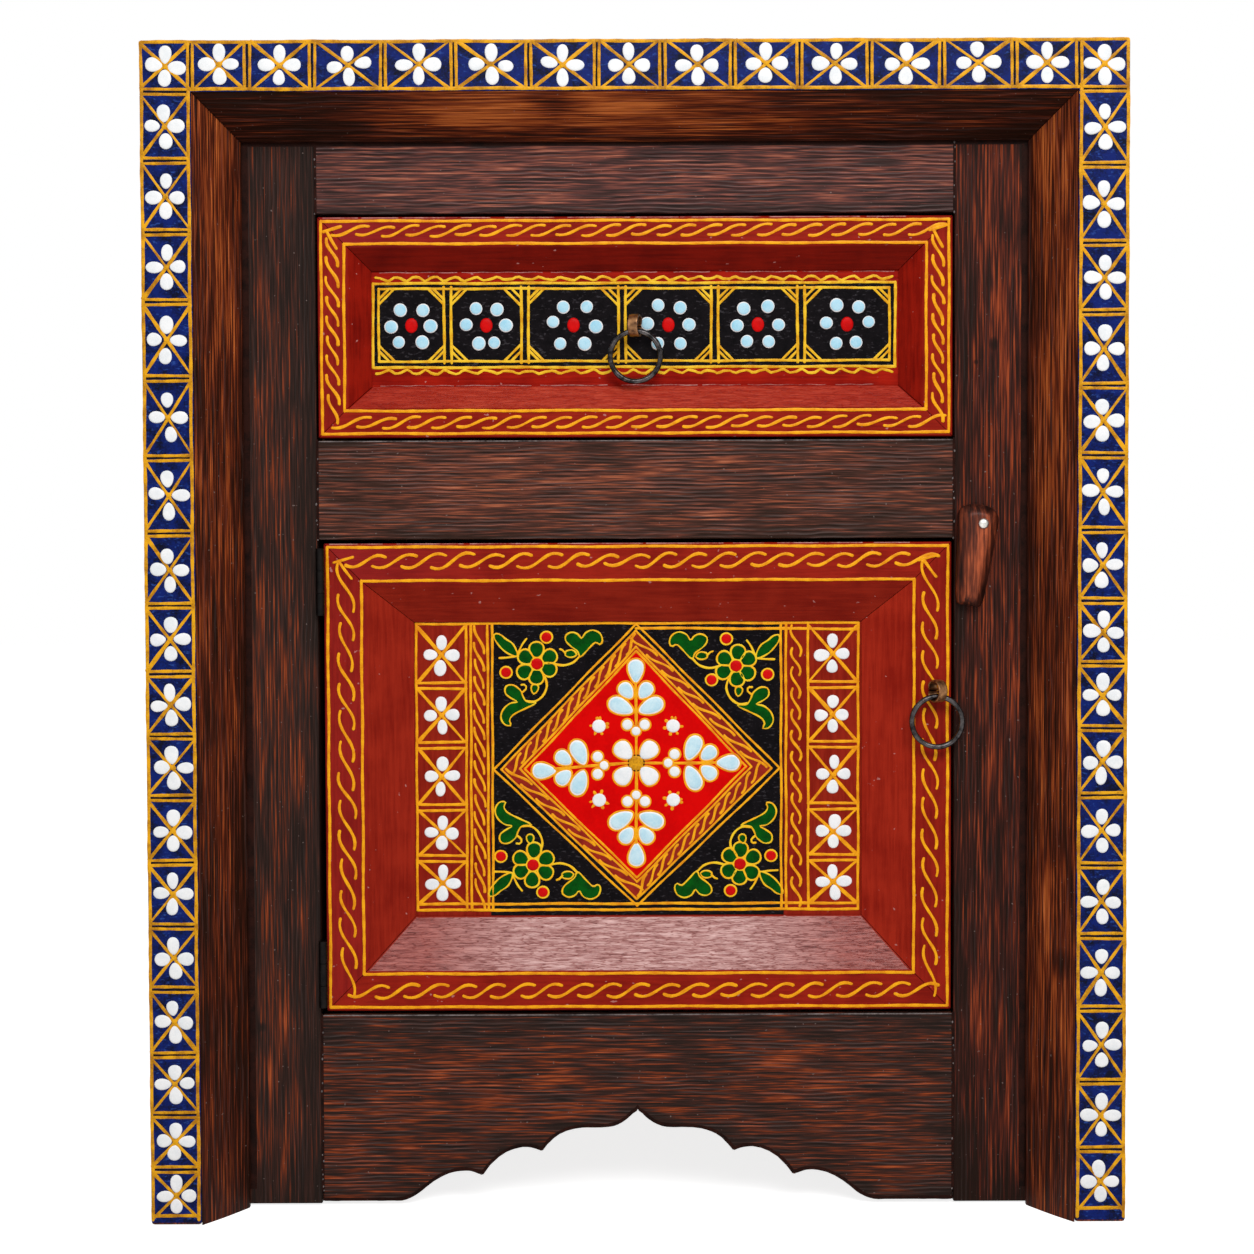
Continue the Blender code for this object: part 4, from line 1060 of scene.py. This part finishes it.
# Painted highlights: broken pale lines along the panel's upper and lower edges.
for z in panel_edges:
    begin, stop = panel_ends
    while begin < stop - 16 * mm:
        end = begin + drawer_edges.hand.uniform(16, 46) * mm
        width = drawer_edges.hand.uniform(0.3, 0.55) * mm
        drawer_edges.stroke([(begin, z), (min(end, stop), z)], width, height=0.15 * mm)
        begin = end + drawer_edges.hand.uniform(1, 9) * mm
x = drawer_field_left
for i, width in enumerate(drawer_tiles):
    far = x + width * mm
    first = i == 0
    last = i == len(drawer_tiles) - 1
    near_edge = x + (field_inset if first else divider_inset)["side"]
    far_edge = far - (field_inset if last else divider_inset)["side"]
    for line_x, framed in ((near_edge, first), (far_edge, last)):
        if not framed:
            panel_gold.stroke([(line_x, divider_low), (line_x, divider_high)], gold_line)
    cut_corners(panel_gold, near_edge, far_edge, tile_low, tile_high)
    spread = min(dot_spread[0] + 0.08 * (width - 39) * mm, dot_spread[1])
    dotted_flower((near_edge + far_edge) / 2, drawer_field_z, spread)
    x = far


def lower_bevel(name, low, high, border, bevel, ridge, finish, body):
    """A skin of thick paint on the bevel that looks up, with the ridges of the timber under it."""
    across, down = bevel_grid
    outer = [Vector((x, low.y, low.z + border)) for x in (low.x + border, high.x - border)]
    inside = [Vector((point.x + shift, point.y + bevel["depth"], point.z + bevel["bottom"]))
              for point, shift in zip(outer, (bevel["side"], -bevel["side"]))]
    slope = inside[0] - outer[0]
    off = Vector((0, -slope.z, slope.y)).normalized()
    points = []
    for lift, swell in zip(bevel_lift, (0.0, ridge)):
        for i in range(down + 1):
            near, far = (outer[k].lerp(inside[k], 0.02 + 0.96 * i / down) for k in (0, 1))
            for j in range(across + 1):
                spot = near.lerp(far, 0.004 + 0.992 * j / across)
                grain = Vector((spot.x / bevel_grain[0], spot.z / bevel_grain[1], 0.0))
                wave = turbulence.noise(grain) + 0.5 * turbulence.noise(grain * 2.3)
                points.append(spot + off * (lift + swell * wave))
    row = across + 1
    sheet = row * (down + 1)
    faces = []
    for i in range(down):
        for j in range(across):
            corner = i * row + j
            quad = [corner, corner + 1, corner + row + 1, corner + row]
            faces += [quad[::-1], [sheet + k for k in quad]]
    rim = list(range(row)) + [row * i + across for i in range(1, down + 1)]
    rim += [row * down + j for j in range(across - 1, -1, -1)] + [row * i for i in range(down - 1, 0, -1)]
    faces += [(a, b, b + sheet, a + sheet) for a, b in round_trip(rim)]
    return piece_from(name, points, faces, finish, body)


# The bevel that looks up carries a painted sheen in its colour.
lower_bevel("drawer_lower_bevel", front_low, front_high, drawer_border, drawer_bevel, 0.015 * mm,
            red_with_painted_sheen("drawer_bevel_painted_sheen", drawer_sheen, drawer_sheen_ends, 138 * mm, 44.0, 0.14), "drawer")

gold_paint = oil_paint("gold_paint", *gold, 160, 5.0, 0.12)
black_paint = oil_paint("black_paint", *field_black, 170, 6.0, 0.04, flecks=field_worn)
sky_paint = oil_paint("sky_paint", *sky, 130, 7.0, 0.12)
bead_paint = oil_paint("bead_red_paint", *bead_red, 130, 8.0, 0.08)
rose_paint = oil_paint("rose_paint", *rose, 90, 13.0, 0.1)
lemon_paint = oil_paint("lemon_paint", *lemon, 160, 16.0)
drawer_edges.dry("drawer_panel_edge_highlights", rose_paint, "drawer")
drawer_rim.dry("drawer_top_highlight", rose_paint, "drawer")
drawer_gold.dry("drawer_gold_border", gold_paint, "drawer")
drawer_black.dry("drawer_black_field", black_paint, "drawer")
panel_gold.dry("drawer_gold_tiles", lemon_paint, "drawer")
drawer_sky.dry("drawer_sky_dots", sky_paint, "drawer")
dot_rims.dry("drawer_dot_rims", white_paint, "drawer")
drawer_red.dry("drawer_red_dots", bead_paint, "drawer")


# Behind the front is a plain box of bare boards: two sides that meet the front's frame, and a back. Its
# thin bottom is slid into grooves in the sides.
box_boards = (
    ("drawer_side_left", "Y"), ("drawer_side_right", "Y"), ("drawer_back", "X"), ("drawer_bottom", "Y"))
for number, (node, grain) in enumerate(box_boards):
    dress(node, bare_wood(node + "_wood", grain, number + 50.0))


# The door is framed like the drawer front, in four mitred members with wider bevels round a flat panel.
# The panel's painting is a diamond with a cross of lilies on black, between columns of tiles and rope.
door_reds = ((128, 24, 12), (154, 38, 21))
# Pale tones of the door's lower bevel, a painted sheen where it looks up, and the tint toward its ends.
door_sheen = ((108, 52, 48), (170, 112, 107), (224, 182, 177))
door_sheen_ends = (206, 146, 138)
diamond_red = ((208, 1, 1), (224, 3, 2))
pale_sky = ((188, 226, 241), (212, 239, 248))
leaf_green = ((0, 56, 6), (0, 82, 12))
leaf_yellow = (gold[1], (250, 208, 40))
# Each door member's factor scales its recessed reds, a painted light or shade by how its bevel faces.
door_members = (
    ("door_rail_top", "X", 0.95, 0.7), ("door_rail_bottom", "X", 1.0, 0.0),
    ("door_stile_left", "Z", 1.0, 0.35), ("door_stile_right", "Z", 1.06, 0.0),
    ("door_panel", "Z", 0.97, 0.0))
door_border = 20.5 * mm
door_bevel = {"side": 25.2 * mm, "bottom": 27.5 * mm, "depth": 11.2 * mm}
door_rope = {
    "places": {"side": 11.2 * mm, "top": 9.2 * mm, "bottom": 10.4 * mm},
    "across": {"pitch": 15.3 * mm, "size": (22.0 * mm, 7.0 * mm, 1.75 * mm), "bend": 2.31},
    "down": {"pitch": 15.2 * mm, "size": (25.2 * mm, 8.0 * mm, 1.6 * mm), "bend": 2.08}}
columns = [x * mm for x in (-116.5, -88.9, -77.5, 78.0, 91.0, 117.5)]
column_lines = ((0.0,), (-1.25, 1.25), (-1.2, 1.2), (1.3, -1.3), (0.0,), (0.0,))
column_line = 1.5 * mm
column_inset = 0.9 * mm
left_column_inset = 1.2 * mm
column_rope_size = (15.2 * mm, 5.2 * mm, 1.5 * mm)
column_rope_inset = {"top": 4 * mm, "bottom": 2 * mm}
# Each rope beside the diamond has the column at its left, its pitch and its bend.
column_ropes = ((1, 9.0 * mm, 1.7), (3, 11.4 * mm, 2.3))
rows = [z * mm for z in (306.8, 274.0, 242.3, 209.3, 182.0, 156.1)]
row_line = 1.6 * mm
row_line_off = 1.6 * mm
row_inset = 1.8 * mm
top_line_drop = (2.6 * mm, 3.4 * mm)
door_petal = 7.8 * mm
ground_foot = 151.6 * mm
coat_heights = {"ground": 0.10 * mm, "band": 0.16 * mm, "field": 0.24 * mm}
diamond_outer = ((0.0, 307.2), (-76.7, 229.4), (0.0, 155.6), (76.9, 229.4))
diamond_inner = ((0.0, 291.6), (-58.8, 229.6), (0.0, 172.0), (57.8, 230.6))
# The diamond's brick band, red field, lines and rope lie at shares of the way in from its outer corners.
band_share = 0.28
field_share = 0.90
line_shares = (0.05, band_share, 0.83, 0.98)
rope_share = 0.56
diamond_pitches = (8.2 * mm, 11.2 * mm, 7.8 * mm, 11.2 * mm)
diamond_rope = (4.4 * mm, 1.5 * mm)
cross_centre = (-0.2 * mm, 232.6 * mm)
# A lily's stem has places ahead with shares of its sag, its dots a place ahead and aside and a radius, and
# its petals a place, length, breadth and lean. Places and sizes are in millimetres.
lily_stem = ((4, 0.0), (26, 0.35), (44, 0.8))
lily_dots = ((17.0, 0.0, 2.4), (20.4, 4.6, 2.8), (20.4, -4.6, 2.8))
lily_petals = ((30.1, 8.0, 14.2, 8.6, 68), (38.4, 5.0, 9.8, 7.6, 38))
lily_sags = (0.0, 0.0, 4.0 * mm, 0.0)
lily_tip = 48.8 * mm
tip_petal = (12.8 * mm, 8.2 * mm)
heart_reach = 9.2 * mm
heart_petal = (11.2 * mm, 9.0 * mm)
heart_disc = (8.0 * mm, 8.0 * mm)
star_reach = 27.8 * mm
star_disc = (7.4 * mm, 7.2 * mm)
star_rays = 7
ray_start = 3.6 * mm
fine_line = 1.25 * mm
rim_line = 1.15 * mm
stem_line = 1.7 * mm
ray_line = 1.8 * mm

hinge_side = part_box("door_stile_left")[0]
free_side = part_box("door_stile_right")[1]
door_low = Vector((hinge_side.x, hinge_side.y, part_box("door_rail_bottom")[0].z))
door_high = Vector((free_side.x, 0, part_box("door_rail_top")[1].z))
paint_members(door_members, door_reds, door_low.y, 60.0)
door_gold = Brushwork(door_low.y, 31)
painted_border(door_gold, door_low, door_high, door_border, **door_rope)

panel_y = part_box("door_panel")[0].y
panel_black = Brushwork(panel_y, 32)
panel_brick = Brushwork(panel_y, 33)
panel_red = Brushwork(panel_y, 34)
panel_beads = Brushwork(panel_y, 35)
panel_lines = Brushwork(panel_y, 36)
panel_white = Brushwork(panel_y, 37)
panel_sky = Brushwork(panel_y, 38)
panel_green = Brushwork(panel_y, 39)
panel_yellow = Brushwork(panel_y, 40)
panel_disc = Brushwork(panel_y, 42)
panel_black.ground(rectangle(columns[2], columns[3], ground_foot, rows[0]), coat_heights["ground"])


def diamond(share):
    """The diamond's corners at a share of the way in, from the outer ones at 0 to the inner ones at 1."""
    pairs = zip(diamond_outer, diamond_inner)
    return [Vector(outer).lerp(Vector(inside), share) * mm for outer, inside in pairs]


panel_brick.ground(diamond(band_share), coat_heights["band"])
panel_red.ground(diamond(field_share), coat_heights["field"])
for share in line_shares:
    for side in round_trip(diamond(share)):
        panel_lines.stroke(side, fine_line)
for side, pitch in zip(round_trip(diamond(rope_share)), diamond_pitches):
    rope(panel_lines, *side, pitch, size=(1.4 * pitch, *diamond_rope), bend=1.75)

for x, offsets in zip(columns, column_lines):
    for offset in offsets:
        line_x = x + offset * mm
        panel_lines.stroke([(line_x, rows[0]), (line_x, rows[-1] - row_line_off)], column_line)
for z in (rows[0], rows[-1] + row_line_off, rows[-1] - row_line_off):
    panel_lines.stroke([(columns[0], z), (columns[5], z)], row_line)
panel_lines.stroke([(0, rows[0] - top_line_drop[0]), (columns[5], rows[0] - top_line_drop[1])], row_line)
for near, far in ((columns[0], columns[1] - left_column_inset), (columns[4], columns[5])):
    for high, low in zip(rows, rows[1:]):
        crossed_tile(panel_lines, panel_white, near + column_inset, far - column_inset,
                     low + row_inset, high - row_inset, door_petal)
        if low != rows[-1]:
            for z in (low - row_line_off, low + row_line_off):
                panel_lines.stroke([(near, z), (far, z)], row_line)
for column, pitch, bend in column_ropes:
    middle = (columns[column] + columns[column + 1]) / 2
    ends = ((middle, rows[0] - column_rope_inset["top"]), (middle, rows[-1] + column_rope_inset["bottom"]))
    rope(panel_lines, *ends, pitch, column_rope_size, bend)


def rimmed(fill, rim, outline, height, width=rim_line):
    """A dab with a fine line drawn round it."""
    fill.dab(outline, height)
    middle = middle_of(outline)
    line = [Vector(point) + (Vector(point) - middle).normalized() * 0.3 * width for point in outline]
    rim.stroke(line + line[:1], width, closed=True)


def two_tone(x, z, length, breadth, angle, narrow):
    """A white petal with pale blue laid on its middle."""
    rimmed(panel_white, panel_lines, drop(x, z, length, breadth, angle, narrow), height=0.6 * mm)
    panel_sky.dab(drop(x, z, 0.91 * length, 0.88 * breadth, angle, narrow), height=0.72 * mm)


def lily_arm(way, sag):
    """A stem with paired petals that grow smaller toward a single petal at its tip."""
    hand = panel_sky.hand
    stem = [around(cross_centre, way, ahead * mm, sag * share) for ahead, share in lily_stem]
    panel_lines.stroke(stem, stem_line)
    for ahead, aside, radius in lily_dots:
        spot = around(cross_centre, way, ahead * mm, aside * mm + sag * 0.3)
        outline = drop(*spot, radius * 2 * mm, radius * 2 * mm, way, corners=16)
        rimmed(panel_white, panel_lines, outline, height=0.75 * mm)
    for ahead, aside, length, breadth, lean in lily_petals:
        for side in (-1, 1):
            spot = around(cross_centre, way, ahead * mm, side * aside * mm + sag * 0.6)
            angle = way + side * math.radians(lean + hand.gauss(0, 3))
            two_tone(*spot, length * mm, breadth * mm, angle, narrow=0.28)
    two_tone(*around(cross_centre, way, lily_tip, sag), *tip_petal, way, narrow=0.4)


for quarter, sag in enumerate(lily_sags):
    lily_arm(quarter * math.pi / 2, sag)
    diagonal = (quarter + 0.5) * math.pi / 2
    petal = drop(*around(cross_centre, diagonal, heart_reach), *heart_petal, diagonal, narrow=0.3)
    rimmed(panel_white, panel_lines, petal, height=0.8 * mm)
    star = around(cross_centre, diagonal, star_reach)
    panel_white.dab(drop(*star, *star_disc, 0, corners=16), height=0.75 * mm)
    for ray in range(star_rays):
        way = diagonal + math.tau * ray / star_rays + panel_lines.hand.gauss(0, 0.2)
        reach = panel_lines.hand.uniform(4.3, 5.2) * mm
        line = [around(star, way, ray_start), around(star, way, reach)]
        panel_lines.stroke(line, ray_line, height=0.45 * mm)
disc = drop(*cross_centre, *heart_disc, 0, corners=24)
rimmed(panel_disc, panel_black, disc, height=0.8 * mm, width=0.9 * mm)


def smooth_loop(points, steps=5):
    """A round closed curve through a few points."""
    ring = [Vector(point) for point in points]
    fours = zip(ring[-1:] + ring, ring, ring[1:] + ring[:1], ring[2:] + ring[:2])
    return [point for four in fours for point in curved_span(*four, steps)]


# A sprig stands in each corner of the black ground. Its leaves, stems and curls are in millimetres from
# the flower's middle, across toward the corner and up toward it.
sprig_places = ((-52.5, 285.4), (52.9, 284.0), (-55.2, 178.5), (54.8, 178.6))
bud_leaf = ((11.2, 4.2), (11.1, 6.7), (13.4, 11.1), (17.1, 13.6), (20.0, 16.0), (23.0, 16.6), (23.4, 14.6),
            (21.8, 11.6), (19.0, 8.2), (15.4, 5.6))
arm_leaf = ((0.8, -21.4), (5.8, -20.8), (8.0, -17.6), (9.2, -14.6), (13.0, -11.7), (16.9, -12.2),
            (17.4, -16.0), (14.1, -18.8), (10.6, -20.8), (14.8, -21.7), (18.6, -25.0), (19.9, -29.4),
            (17.8, -33.2), (14.4, -33.6), (15.4, -31.2), (14.3, -28.8), (11.6, -26.8), (6.6, -24.4))
wide_leaf = ((-23.8, 3.9), (-28.2, 8.3), (-31.9, 11.7), (-34.6, 10.6), (-35.8, 13.0), (-34.4, 16.6),
             (-30.6, 18.3), (-26.7, 16.9), (-24.5, 13.8), (-22.3, 16.2), (-18.9, 17.2), (-15.8, 15.4),
             (-16.0, 12.4), (-18.6, 9.7), (-22.2, 7.0))
small_leaf = ((-21.6, 5.0), (-19.6, 7.4), (-15.8, 6.8), (-15.8, 4.4), (-19.0, 3.6))
bud_curls = (((11.1, 4.2), (9.0, 9.0), (7.6, 11.6), (5.9, 13.8)), ((11.1, 4.2), (15.6, 3.6), (20.6, 3.4)))
arm_curl = ((8.2, -15.4), (6.2, -13.6), (6.6, -11.6), (8.6, -11.6))
wide_curl = ((-15.8, 5.6), (-13.8, 7.6), (-12.6, 8.0))
arm_stem = ((-4.1, -7.4), (-5.2, -11.9), (-3.2, -17.2), (1.2, -20.6), (5.9, -20.4))
wide_stem = ((-8.2, 0.2), (-14.1, -1.0), (-19.8, 0.6), (-23.6, 4.4))
arm_bud = (1.4, -13.8)
berries = ((17.0, -4.6), (-5.2, 14.6))
lone_berry = (39.9 * mm, 276.6 * mm)
berry_size = (5.6 * mm, 5.4 * mm)
bud_size = (4.6 * mm, 3.2 * mm)
flower_petals = 6
flower_petal = (8.0 * mm, 7.0 * mm)
flower_heart = (6.4 * mm, 6.2 * mm)


def berry(place):
    """A red dot with a yellow rim."""
    rimmed(panel_beads, panel_yellow, drop(*place, *berry_size, 0, corners=16), height=0.7 * mm)


def sprig(x, z, across, up):
    """A green flower with a bud-leaf toward the corner and a curling leafy arm on either side."""
    hand = panel_green.hand
    spread = hand.uniform(0.95, 1.03)

    def put(points):
        return [(x + across * a * mm * spread, z + up * b * mm * spread) for a, b in points]

    for points in (bud_leaf, arm_leaf, wide_leaf, small_leaf):
        outline = smooth_loop(put(points))
        panel_green.ground(outline, height=0.38 * mm)
        panel_yellow.stroke(outline + outline[:1], rim_line, height=0.55 * mm, closed=True)
    for curl in (*bud_curls, arm_curl, wide_curl):
        panel_yellow.stroke(smooth_path(put(curl)), rim_line)
    for stem in (arm_stem, wide_stem):
        panel_yellow.stroke(smooth_path(put(stem)), rim_line * 1.15)
    bud = drop(*put([arm_bud])[0], *bud_size, hand.uniform(1, 2), narrow=0.4, corners=14)
    rimmed(panel_green, panel_yellow, bud, height=0.45 * mm, width=1.0 * mm)
    for place in put(berries):
        berry(place)
    for petal in range(flower_petals):
        way = math.tau * petal / flower_petals + hand.gauss(0.5, 0.06)
        reach = hand.uniform(6.6, 7.8) * mm
        outline = drop(*around((x, z), way, reach), *flower_petal, way, narrow=0.2)
        rimmed(panel_green, panel_yellow, outline, height=0.5 * mm)
    rimmed(panel_beads, panel_yellow, drop(x, z, *flower_heart, 0), height=0.85 * mm, width=1.3 * mm)


for x, z in sprig_places:
    sprig(x * mm, z * mm, math.copysign(1, x), math.copysign(1, z * mm - cross_centre[1]))
berry(lone_berry)

# The bevel that looks up carries a painted sheen in its colour.
lower_bevel("door_lower_bevel", door_low, door_high, door_border, door_bevel, 0.05 * mm,
            red_with_painted_sheen("door_bevel_painted_sheen", door_sheen, door_sheen_ends, 118 * mm, 64.0, 0.25), "door")
# A painted highlight along the door's upper edge.
door_edges = Brushwork(door_low.y, 41)
top_edge_highlight(door_edges, door_low, door_high)
brick_paint = oil_paint("brick_band_paint", *door_reds, 160, 9.0)
diamond_paint = oil_paint("diamond_red_paint", *diamond_red, 60, 10.0, 0.04)
pale_sky_paint = oil_paint("pale_sky_paint", *pale_sky, 130, 17.0)
green_paint = oil_paint("leaf_green_paint", *leaf_green, 180, 11.0, 0.05)
yellow_paint = oil_paint("leaf_yellow_paint", *leaf_yellow, 160, 12.0)
door_edges.dry("door_top_highlight", rose_paint, "door")
door_gold.dry("door_gold_border", gold_paint, "door")
panel_black.dry("door_black_ground", black_paint, "door")
panel_brick.dry("door_diamond_band", brick_paint, "door")
panel_red.dry("door_diamond_field", diamond_paint, "door")
panel_beads.dry("door_red_beads", bead_paint, "door")
panel_lines.dry("door_gold_lines", gold_paint, "door")
panel_disc.dry("door_flower_disc", ochre_paint, "door")
panel_white.dry("door_white_petals", white_paint, "door")
panel_sky.dry("door_sky_petals", pale_sky_paint, "door")
panel_green.dry("door_green_leaves", green_paint, "door")
panel_yellow.dry("door_yellow_outlines", yellow_paint, "door")


# Two small iron butt hinges hang the door: a leaf let into the stile, a leaf on the door's back edge
# and a pin through their rolled knuckles. The iron has gone nearly black.
iron_dark = (6, 5, 5)
iron_bright = (22, 17, 15)
hinge_iron = worn_metal("hinge_iron", iron_dark, iron_bright, 70.0)
for level in ("upper", "lower"):
    for part in ("frame_leaf", "door_leaf", "pin"):
        dress("hinge_%s_%s" % (level, part), hinge_iron)


# Each pull is an iron ring in the loop of a copper split pin, which goes through the front and is
# clenched behind it. The ring was bent from rod, so its thickness is a little uneven.
ring_dark = (20, 18, 19)
ring_bright = (84, 79, 79)
copper_dark = (80, 52, 34)
copper_bright = (174, 126, 84)
ring_iron = worn_metal("ring_iron", ring_dark, ring_bright, 72.0, 0.20)
ring_steps = 72
rod_steps = 14
pin_loop = 6.0 * mm
pin_strip = (5.2 * mm, 1.1 * mm)
pin_leg = 0.75 * mm
pin_steps = 20
pin_turns = {"drawer": math.radians(-16), "door": math.radians(26)}
pin_copper = worn_metal("pin_copper", copper_dark, copper_bright, 73.0, 0.34)


def tube(loops, closed=False):
    """Points and faces of a body covered from loop to loop, with a face at each end unless it runs round."""
    count = len(loops[0])
    total = len(loops) * count
    faces = [] if closed else [list(range(count)), list(range(total - count, total))]
    for i in range(len(loops) if closed else len(loops) - 1):
        near, far = i * count, (i + 1) * count % total
        for j in range(count):
            k = (j + 1) % count
            faces.append((near + j, near + k, far + k, far + j))
    return [point for loop in loops for point in loop], faces


def rounded(way, power):
    """Cosine and sine of an angle, drawn out toward a square by a power below 1."""
    return [math.copysign(abs(share) ** power, share) for share in (math.cos(way), math.sin(way))]


def split_pin(name, node, body, turn):
    """A strip with rounded edges in the place of the CAD eye: a loop in front, two legs, and tails bent flat.

    Use has turned the loop aside on its neck, and the legs stay straight in the wood.
    """
    low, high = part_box(node)
    middle = (low + high) / 2
    centre_y = low.y + pin_loop
    radius = pin_loop - pin_strip[1] / 2
    tail_y = high.y - pin_strip[1] / 2 - centre_y
    ways = [math.pi * i / 9 for i in range(9, 1, -1)]
    half = [(radius * math.cos(way), radius * math.sin(way)) for way in ways]
    half += [(radius * 0.95, 1.6 * pin_leg), (radius * 1.25, pin_leg), (tail_y - 1.2 * mm, pin_leg)]
    half += [(tail_y - 0.3 * mm, pin_leg + 0.4 * mm), (tail_y, pin_leg + 1.3 * mm)]
    half += [(tail_y, high.z - middle.z)]
    path = smooth_path([(y, -z) for y, z in half[:0:-1]] + half, 4)
    loops = []
    for i, here in enumerate(path):
        ahead = (path[min(i + 1, len(path) - 1)] - path[max(i - 1, 0)]).normalized()
        loop = []
        for j in range(pin_steps):
            across, out = rounded(math.tau * j / pin_steps, 0.4)
            spot = here + Vector((-ahead.y, ahead.x)) * out * pin_strip[1] / 2
            aside = across * pin_strip[0] / 2
            spin = turn * min(max(3 - 2.5 * here.x / radius, 0.0), 1.0)
            loop.append((middle.x + aside * math.cos(spin) - spot.x * math.sin(spin),
                         centre_y + aside * math.sin(spin) + spot.x * math.cos(spin), middle.z + spot.y))
        loops.append(loop)
    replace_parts(piece_from(name, *tube(loops), pin_copper, body), node)


def hammered_ring(name, node, body, seed):
    """A ring of round rod in the place of the CAD ring, with the slight flats of the hammer."""
    low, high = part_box(node)
    centre = (low + high) / 2
    rod = (high.y - low.y) / 2
    radius = (high.x - low.x) / 2 - rod
    hand = random.Random(seed)
    phases = [hand.uniform(0, math.tau) for _ in range(3)]
    loops = []
    for i in range(ring_steps):
        way = math.tau * i / ring_steps
        size = rod * (0.97 + 0.03 * math.sin(5 * way + phases[0]) + 0.02 * math.sin(11 * way + phases[1]))
        loop = []
        for j in range(rod_steps):
            turn = math.tau * j / rod_steps
            flat = size * (1 + 0.02 * math.sin(3 * turn + 7 * way + phases[2]))
            reach = radius + flat * math.cos(turn)
            loop.append((centre.x + reach * math.sin(way), centre.y + flat * math.sin(turn),
                         centre.z + reach * math.cos(way)))
        loops.append(loop)
    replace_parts(piece_from(name, *tube(loops, closed=True), ring_iron, body), node)


for front, seed in (("drawer", 51), ("door", 52)):
    hammered_ring(front + "_ring_rod", front + "_pull_ring", front + "_ring", seed)
    split_pin(front + "_split_pin", front + "_pull_eye", front, pin_turns[front])


# A wooden turn button keeps the door shut. It is carved from one block, chamfered in front, and turns on
# a dome-headed nail of bright steel. Thumbs have rubbed its front through the stain.
button_tilt = math.radians(9.0)
button_ends = (-43.2 * mm, 9.8 * mm)
button_widths = (14.2 * mm, 22.5 * mm)
button_shoulder = 0.8 * mm
button_lean = -2.5 * mm
button_levels = ((0.0, 0.4), (0.5, 0.0), (5.0, 0.0), (5.8, 0.3), (9.0, 3.6), (9.7, 4.6), (10.0, 5.8))
button_tones = ((0.30, (32, 16, 12)), (0.48, (68, 32, 23)), (0.62, (116, 54, 34)), (0.80, (190, 94, 56)))
nail_steel_dark = (150, 148, 144)
nail_steel_bright = (226, 224, 218)
button_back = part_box("turn_button")[1].y
nail_low, nail_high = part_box("turn_button_nail")
nail_middle = (nail_low + nail_high) / 2
nail_head = (nail_high.x - nail_low.x) / 2
nail_dome = 1.4 * mm
nail_shank = 1.5 * mm
nail_steps = 32


def button_loop(height, inset):
    """The button's tapered outline at a height above its back, drawn in by an inset, rounder at its head."""
    low, high = button_ends
    loop = []
    for i in range(72):
        way = math.tau * i / 72
        across, along = rounded(way, 0.85 if i < 36 else 0.2)
        reach = high - button_shoulder if i < 36 else button_shoulder - low
        z = button_shoulder + along * (reach - inset)
        share = (z - low) / (high - low)
        half_width = button_widths[0] * (1 - share) / 2 + button_widths[1] * share / 2 - inset
        x = share * button_lean + across * half_width
        loop.append((nail_middle.x + x * math.cos(button_tilt) + z * math.sin(button_tilt),
                     button_back - height,
                     nail_middle.z + z * math.cos(button_tilt) - x * math.sin(button_tilt)))
    return loop


def rubbed_wood_with_painted_shade(name, seed):
    """Stained wood rubbed to orange on the front and dark down its sides, the dark partly a painted shade."""
    material, tree, shader = new_finish(name, 0.12)
    fibres = noise(tree, place_on(tree, (1, 0.4, 0.05), seed), 620, 3.0, 0.65, 0.3)
    clouds = noise(tree, place_on(tree, (1, 0.5, 0.4), seed + 2.0), 150, 2.0)
    # Lighter toward the front and darker toward the back: rubbed wear, with a painted shade down the chamfers.
    front = profile(tree, *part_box("turn_button"), 1, ((0.0, 0.18), (0.12, 0.08), (0.45, -0.06), (1.0, -0.14)))
    tone = math_node(tree, "MULTIPLY_ADD", fibres, 1.0, math_node(tree, "MULTIPLY_ADD", clouds, 0.5, front))
    tone = math_node(tree, "SUBTRACT", tone, 0.29)
    colour = ramp(tree, tone, [(step, tint(*shade)) for step, shade in button_tones])
    surface(tree, shader, colour, clouds, (0.25, 0.5), fibres, 0.2 * mm)
    return material


def nail_loop(radius, y):
    """A ring of points round the nail."""
    ways = [math.tau * i / nail_steps for i in range(nail_steps)]
    return [(nail_middle.x + radius * math.cos(way), y, nail_middle.z + radius * math.sin(way))
            for way in ways]


button_loops = [button_loop(height * mm, inset * mm) for height, inset in button_levels]
button_wood = rubbed_wood_with_painted_shade("button_wood", 80.0)
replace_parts(piece_from("carved_button", *tube(button_loops), button_wood, "turn_button"), "turn_button")
dome = [nail_loop(nail_head * math.cos(way), nail_low.y + nail_dome * (1 - math.sin(way)))
        for way in (math.pi / 2 * i / 8.2 for i in range(8, -1, -1))]
shank = [nail_loop(nail_shank, nail_low.y + nail_dome), nail_loop(nail_shank, nail_high.y - 2 * nail_shank),
         nail_loop(0.1 * nail_shank, nail_high.y)]
nail_steel = worn_metal("nail_steel", nail_steel_dark, nail_steel_bright, 81.0, 0.30, 0.02 * mm)
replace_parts(piece_from("dome_nail", *tube(dome + shank), nail_steel, "case"), "turn_button_nail")
